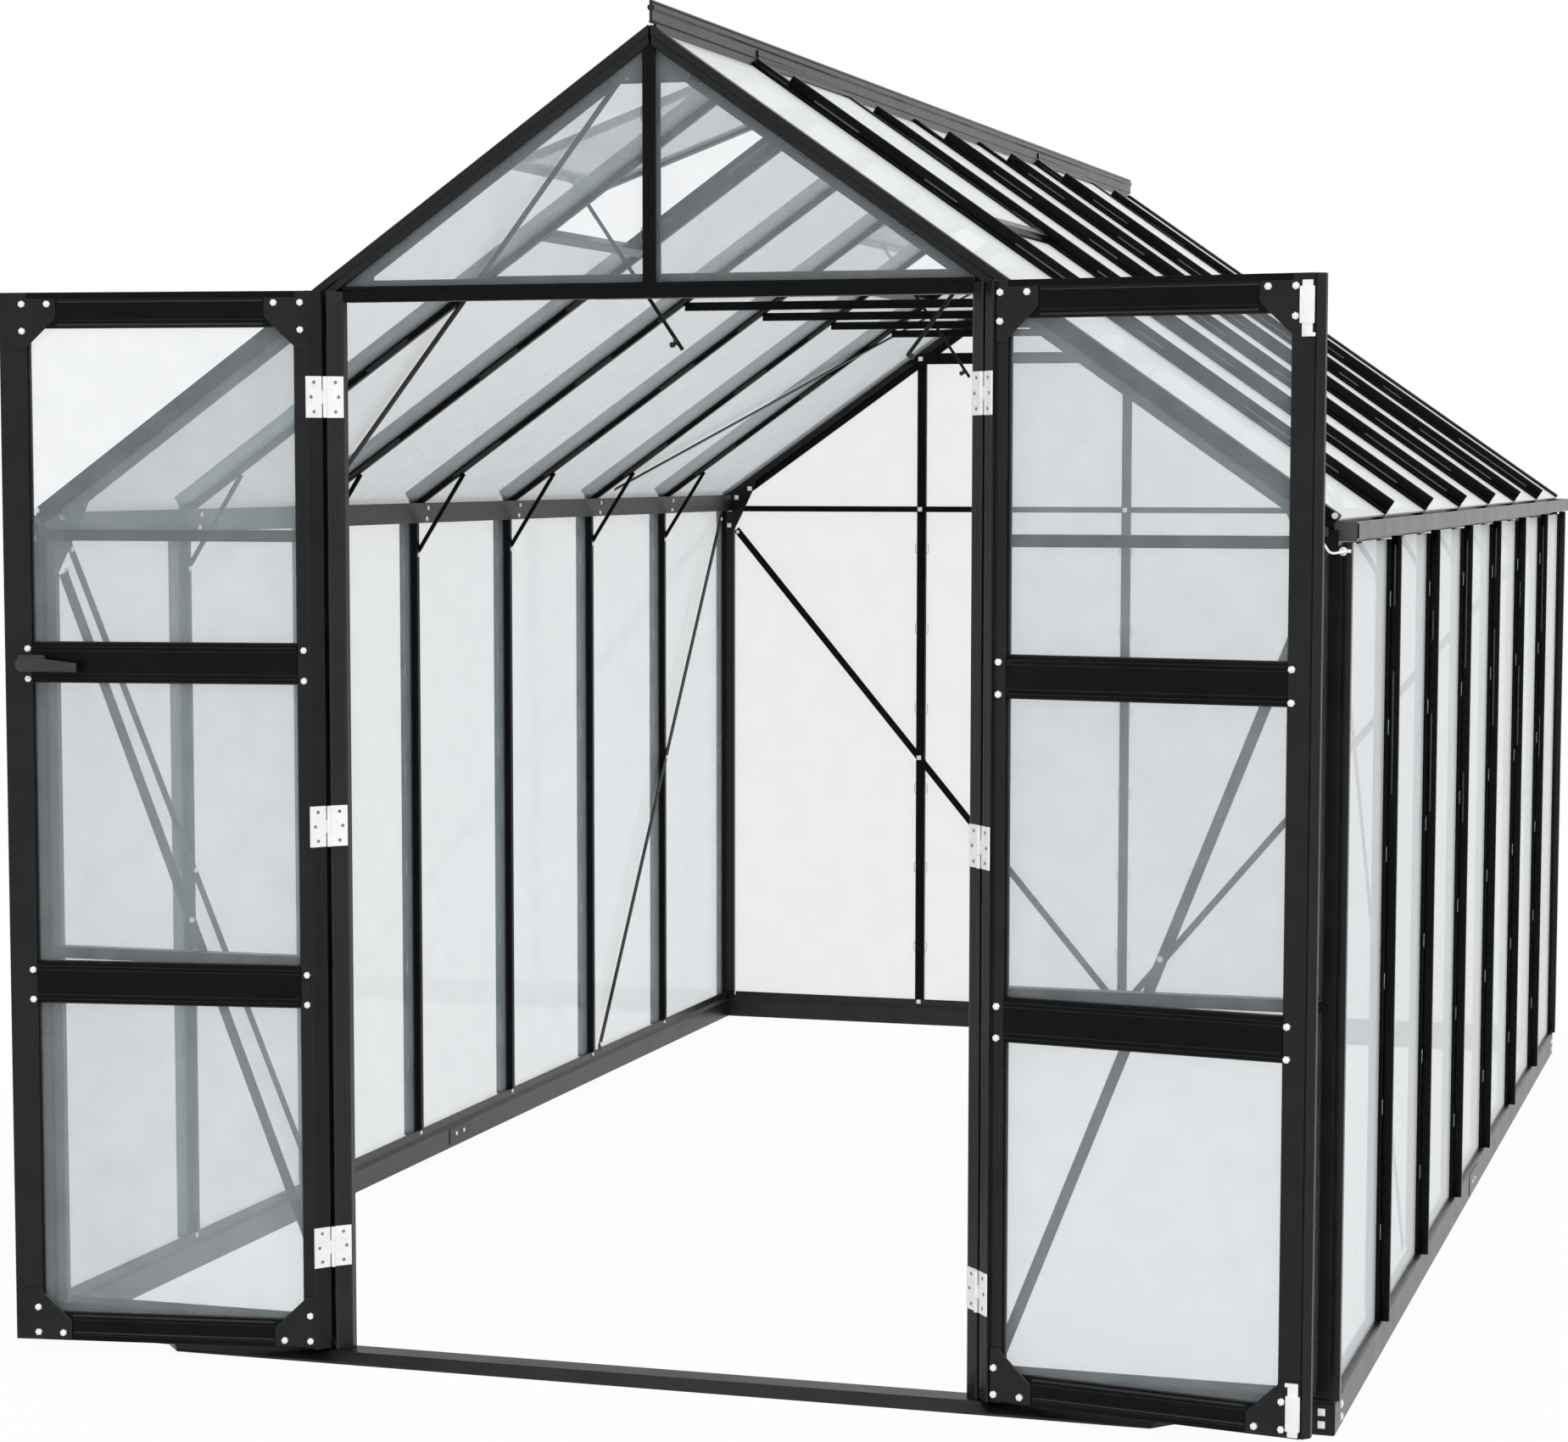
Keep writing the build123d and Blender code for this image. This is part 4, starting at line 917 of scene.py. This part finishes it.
class GREENHOUSE_OT_gable_flanges(bpy.types.Operator):
    """Flanges that carry the gable glass along the rafters, mullion and head rail, and their front lips"""

    bl_idname = "greenhouse.gable_flanges"
    bl_label = "Gable flanges"

    def execute(self, context):
        made = []
        for side in SIDES:
            for y in (5.5, LENGTH - 5.5):
                flange = block((36.0, -2.0, -49.0), (1478.0, 2.0, -29.0), 0.6, 1)
                made.append(put(flange, slope_axes(side, y)))
        made += [block((-16.0, 3.5, 2004.0), (16.0, 7.5, 2420.0), 0.6, 1),
                 block((-592.0, 3.5, 2004.0), (592.0, 7.5, 2023.0), 0.6, 1),
                 block((-12.3, -15.0, 2008.0), (12.3, -11.6, 2424.0), 1.2, 3),
                 block((-598.0, -14.0, 2003.5), (598.0, -11.0, 2011.5), 1.0, 2)]
        # The flanges and lips take the darker copy of the coat: painted shade
        settle(made, "gable_glass_flanges", SHADED_COAT, "frame")
        return {"FINISHED"}


class GREENHOUSE_OT_hinge_face_ribs(bpy.types.Operator):
    """Fine ribs up the slanting faces of the door posts and the leaves beside the hinge pins"""

    bl_idname = "greenhouse.hinge_face_ribs"
    bl_label = "Hinge face ribs"

    def execute(self, context):
        def rib(low, high, spot):
            piece = block((-0.5, -0.5, low), (0.5, 0.5, high), 0.25, 1)
            return put(piece, Matrix.Translation(metres(spot)) @ Matrix.Rotation(radians(45.0), 4, "Z"))

        on_posts = []
        for leaf, side in LEAVES.items():
            ribs = [rib(27.0, 2002.0, on_leaf_slant(side, run, 5.0, 0.0))
                    for run in (9.0, 14.0, 19.0, 24.0, 29.0)]
            on_posts += [rib(21.0, 1982.0, on_post_slant(side, run, 5.3, 0.0))
                         for run in (13.0, 18.0, 23.0, 28.0, 33.0)]
            settle(ribs, f"{leaf}_hinge_face_ribs", COAT, leaf)
        settle(on_posts, "door_post_face_ribs", COAT, "frame")
        return {"FINISHED"}


class GREENHOUSE_OT_leaf_gaskets(bpy.types.Operator):
    """Rubber gaskets round the panes and raised lips along the rails of both leaves"""

    bl_idname = "greenhouse.leaf_gaskets"
    bl_label = "Leaf gaskets and lips"

    def execute(self, context):
        near, far = STILE_INNER - 0.2, FREE_STILE_INNER + 0.2
        inner, outer = STILE_INNER + 0.5, FREE_STILE_INNER - 0.5
        wide = (113.0, 506.0)
        for leaf, side in LEAVES.items():
            along, outwards = leaf_axes(side)
            # The right leaf's own axes would mirror its strips, so its depth is drawn backwards
            flip = -side
            axes = set_axes(along, outwards * flip, Vector((0, 0, 1)), (side * PIN_X, PIN_Y, 0.0))

            def strip(u0, u1, v0, v1, z0, z1, by):
                y0, y1 = sorted((flip * v0, flip * v1))
                return put(block((u0, y0, z0), (u1, y1, z1), by, 2), axes)

            def ledge(u0, u1, proud, level, tall, by):
                return strip(u0, u1, LEAF_FACE - 0.5, LEAF_FACE + proud, level, level + tall, by)

            gaskets = []
            for low, high in LEAF_BANDS:
                for v0, v1 in ((1.9, 5.0), (-5.0, -1.9)):
                    gaskets += [strip(near, far, v0, v1, low - 0.2, low + 3.2, 0.7),
                                strip(near, far, v0, v1, high - 3.2, high + 0.2, 0.7),
                                strip(near, STILE_INNER + 3.2, v0, v1, low + 2.0, high - 2.0, 0.7),
                                strip(FREE_STILE_INNER - 3.2, far, v0, v1, low + 2.0, high - 2.0, 0.7)]
            settle(gaskets, f"{leaf}_gaskets", RUBBER, leaf)
            lips = []
            for low, high in ((675.0, 750.0), (1281.0, 1352.0)):
                lips += [ledge(inner, outer, proud, level, 2.0, 0.8) for level, proud in (
                    (low + 5.4, 2.4), (high - 7.4, 2.4), (low + 13.5, 0.9), (high - 15.0, 0.9))]
            lips += [ledge(*wide, proud, level, 1.8, 0.7) for level, proud in (
                (1988.6, 1.6), (1950.5, 0.9), (65.5, 0.9), (36.4, 1.6))]
            settle(lips, f"{leaf}_rail_lips", COAT, leaf)
            grooves = [ledge(*wide, 0.4, level, tall, 0.3) for level, tall in (
                (1984.0, 3.2), (1941.0, 4.0), (40.0, 3.2), (72.4, 4.0))]
            settle(grooves, f"{leaf}_rail_grooves", RUBBER, leaf)
        return {"FINISHED"}


class GREENHOUSE_OT_base_plates(bpy.types.Operator):
    """Splice plates in the middle of the long base rails and plates round the front corners"""

    bl_idname = "greenhouse.base_plates"
    bl_label = "Base plates"

    def execute(self, context):
        plates = (((1218.4, 2028.0, 8.0), (1220.2, 2185.0, 49.0)),
                  ((1254.8, 2150.0, 6.0), (1256.4, 2310.0, 54.0)),
                  ((1216.0, -16.4, 2.0), (1256.4, -14.8, 57.0)),
                  ((1254.8, -15.0, 2.0), (1256.4, 92.0, 57.0)))
        made = [side_block(side, low, high, 0.5, 1) for side in SIDES for low, high in plates]
        settle(made, "base_splice_plates", COAT, "frame")
        return {"FINISHED"}


class GREENHOUSE_OT_gutter_ends(bpy.types.Operator):
    """Moulded end caps of the two gutters with rounded outer corners"""

    bl_idname = "greenhouse.gutter_ends"
    bl_label = "Gutter ends"

    def execute(self, context):
        lip = 1270.0
        made = []
        for side in SIDES:
            outer = side * lip * MM
            for y in (-5.0, LENGTH - 22.0):
                shell = side_block(side, (1231.0, y, 1555.2), (lip, y + 27.0, 1588.6), 0.4, 1)
                made.append(bevel_edges(
                    shell, lambda a, b: abs(a.x - outer) < 1 * MM and abs(b.x - outer) < 1 * MM
                    and abs(a.y - b.y) > 20 * MM, 3.5, 3))
        settle(made, "gutter_end_caps", GREY_PVC_AND_HIGHLIGHT, "frame", 40.0)
        return {"FINISHED"}


class GREENHOUSE_OT_vent_fittings(bpy.types.Operator):
    """Hinge ribs, stay pegs and knobs of the roof vents"""

    bl_idname = "greenhouse.vent_fittings"
    bl_label = "Vent fittings"

    def execute(self, context):
        ribs = []
        for side in SIDES:
            for index in VENT_BAYS:
                y0 = BAY * index + 15.0
                y1 = BAY * (index + 1) - 15.0
                for z, out in ((2489.0, 4.6), (2484.0, 5.8), (2479.0, 7.0)):
                    ribs.append(side_block(side, (2.9, y0, z), (out, y1, z + 2.2), 0.7, 2))
        settle(ribs, "vent_hinge_ribs", COAT, "frame")
        knobs = []
        stays = ((-1, (-506.3, 2292.6), (242.0, -353.0)), (1, (421.0, 2154.0), (-187.0, -243.0)))
        for side, head, run in stays:
            for index in VENT_BAYS:
                lean = Vector((run[0], 0, run[1])).normalized()
                tip = Vector((head[0] + run[0], BAY * (index + 0.5), head[1] + run[1]))
                curl = [tip - lean * 4.0, tip + lean * 4.0, tip + lean * 9.0 + Vector((side * 3.0, 0, 0)),
                        tip + lean * 12.0 + Vector((side * 9.0, 0, 2.0))]
                knobs.append(wire(curl, 3.4, smooth=True))
                ball = round_bar(6.0, 9.0, corners=16, round_by=2.4)
                knobs.append(fixed(put(ball, facing(curl[-1], curl[-1] - curl[-2]))))
        settle(knobs, "vent_stay_knobs", NYLON, "frame", 60.0)
        return {"FINISHED"}


class GREENHOUSE_OT_ridge_ribs(bpy.types.Operator):
    """Ribs along both sides of the ridge under its bead"""

    bl_idname = "greenhouse.ridge_ribs"
    bl_label = "Ridge ribs"

    def execute(self, context):
        ribs = [side_block(side, (2.8, 2.0, z), (out, LENGTH - 2.0, z + 2.4), 0.8, 2)
                for side in SIDES for z, out in ((2506.5, 4.6), (2473.2, 5.4))]
        settle(ribs, "ridge_ribs", COAT, "frame")
        return {"FINISHED"}


def seen_rays(tree):
    """Socket that is 1 for what is seen straight, mirrored or through glass, and 0 for its light."""
    rays = add_node(tree, "ShaderNodeLightPath")
    seen = rays.outputs["Is Camera Ray"]
    for kind in ("Is Glossy Ray", "Is Transmission Ray"):
        links = {0: seen, 1: rays.outputs[kind]}
        seen = add_node(tree, "ShaderNodeMath", links=links, operation="MAXIMUM").outputs[0]
    return seen


class GREENHOUSE_OT_stage(bpy.types.Operator):
    """Plain pale floor, soft light and the camera at the photograph's angle"""

    bl_idname = "greenhouse.stage"
    bl_label = "Stage"

    def execute(self, context):
        stage = context.scene.greenhouse_stage
        bpy.ops.object.select_all(action="DESELECT")
        bpy.ops.mesh.primitive_plane_add(size=120.0, location=(0, 2.0, 0))
        floor = active()
        floor.name = "floor"
        surface, tree = blank_finish("plain_pale_floor")
        share = add_node(tree, "ShaderNodeMath", {1: 0.94}, {0: seen_rays(tree)}, operation="MULTIPLY")
        matt = add_node(tree, "ShaderNodeBsdfDiffuse", {"Color": [*stage.floor_colour, 1.0]})
        pale = add_node(tree, "ShaderNodeEmission", {"Color": linear("#ffffff"), "Strength": 1.0})
        both = add_node(tree, "ShaderNodeMixShader",
                        links={0: share.outputs[0], 1: matt.outputs[0], 2: pale.outputs[0]})
        add_node(tree, "ShaderNodeOutputMaterial", links={"Surface": both.outputs[0]})
        floor.data.materials.append(surface)

        sky = bpy.data.worlds.new("studio")
        context.scene.world = sky
        sky.use_nodes = True
        tree = sky.node_tree
        tree.nodes.clear()
        level = add_node(tree, "ShaderNodeMapRange", {"To Min": stage.sky_level, "To Max": 1.0},
                         {"Value": seen_rays(tree)})
        light = add_node(tree, "ShaderNodeBackground", {"Color": linear("#ffffff")},
                         {"Strength": level.outputs["Result"]})
        add_node(tree, "ShaderNodeOutputWorld", links={"Surface": light.outputs[0]})

        bpy.ops.object.light_add(type="SUN", location=(3.0, -4.0, 6.0))
        lamp = active()
        lamp.name = "key_lamp"
        lamp.rotation_euler = (radians(42.0), radians(12.0), radians(35.0))
        lamp.data.energy = stage.lamp_level
        lamp.data.angle = radians(35.0)

        view = bpy.data.cameras.new("photo_view")
        view.sensor_width = 36.0
        view.lens = 83.85
        view.shift_x = 0.0299
        view.shift_y = 0.0438
        view.clip_start = 0.1
        view.clip_end = 200.0
        camera = bpy.data.objects.new("photo_view", view)
        context.scene.collection.objects.link(camera)
        camera.location = (2.1276, -6.2744, 1.6846)
        camera.rotation_euler = (radians(90.0) - 0.0887, 0.0, 0.3037)
        context.scene.camera = camera
        context.scene.view_settings.view_transform = "Standard"
        return {"FINISHED"}


STEPS = (
    GREENHOUSE_OT_stage, GREENHOUSE_OT_finishes, GREENHOUSE_OT_leaf_nuts, GREENHOUSE_OT_frame_nuts,
    GREENHOUSE_OT_wall_bolts, GREENHOUSE_OT_hinge_screws, GREENHOUSE_OT_door_handle,
    GREENHOUSE_OT_tower_bolts, GREENHOUSE_OT_stay_hooks, GREENHOUSE_OT_glazing_clips,
    GREENHOUSE_OT_roof_strips, GREENHOUSE_OT_bar_covers, GREENHOUSE_OT_gable_flanges,
    GREENHOUSE_OT_hinge_face_ribs, GREENHOUSE_OT_leaf_gaskets, GREENHOUSE_OT_base_plates,
    GREENHOUSE_OT_gutter_ends, GREENHOUSE_OT_vent_fittings, GREENHOUSE_OT_ridge_ribs,
)


class GREENHOUSE_PT_panel(bpy.types.Panel):
    """Sizes, colours and steps of the greenhouse's looks"""

    bl_idname = "GREENHOUSE_PT_panel"
    bl_label = "Greenhouse"
    bl_space_type = "VIEW_3D"
    bl_region_type = "UI"
    bl_category = "Greenhouse"

    def draw(self, context):
        layout = self.layout
        for group in (looks(), fittings(), context.scene.greenhouse_stage):
            box = layout.box()
            for name in group.__annotations__:
                box.prop(group, name)
        for step in STEPS:
            layout.operator(step.bl_idname)


CLASSES = (GreenhouseLooks, GreenhouseFittings, GreenhouseStage, *STEPS, GREENHOUSE_PT_panel)


def register():
    for one in CLASSES:
        bpy.utils.register_class(one)
    bpy.types.Scene.greenhouse_looks = PointerProperty(type=GreenhouseLooks)
    bpy.types.Scene.greenhouse_fittings = PointerProperty(type=GreenhouseFittings)
    bpy.types.Scene.greenhouse_stage = PointerProperty(type=GreenhouseStage)


def unregister():
    del bpy.types.Scene.greenhouse_stage
    del bpy.types.Scene.greenhouse_fittings
    del bpy.types.Scene.greenhouse_looks
    for one in reversed(CLASSES):
        bpy.utils.unregister_class(one)


def main():
    register()
    bpy.ops.greenhouse.stage()
    bpy.ops.greenhouse.finishes()
    bpy.ops.greenhouse.leaf_nuts()
    bpy.ops.greenhouse.frame_nuts()
    bpy.ops.greenhouse.wall_bolts()
    bpy.ops.greenhouse.hinge_screws()
    bpy.ops.greenhouse.door_handle()
    bpy.ops.greenhouse.tower_bolts()
    bpy.ops.greenhouse.stay_hooks()
    bpy.ops.greenhouse.glazing_clips()
    bpy.ops.greenhouse.roof_strips()
    bpy.ops.greenhouse.bar_covers()
    bpy.ops.greenhouse.gable_flanges()
    bpy.ops.greenhouse.hinge_face_ribs()
    bpy.ops.greenhouse.leaf_gaskets()
    bpy.ops.greenhouse.base_plates()
    bpy.ops.greenhouse.gutter_ends()
    bpy.ops.greenhouse.vent_fittings()
    bpy.ops.greenhouse.ridge_ribs()


if __name__ == "__main__":
    main()
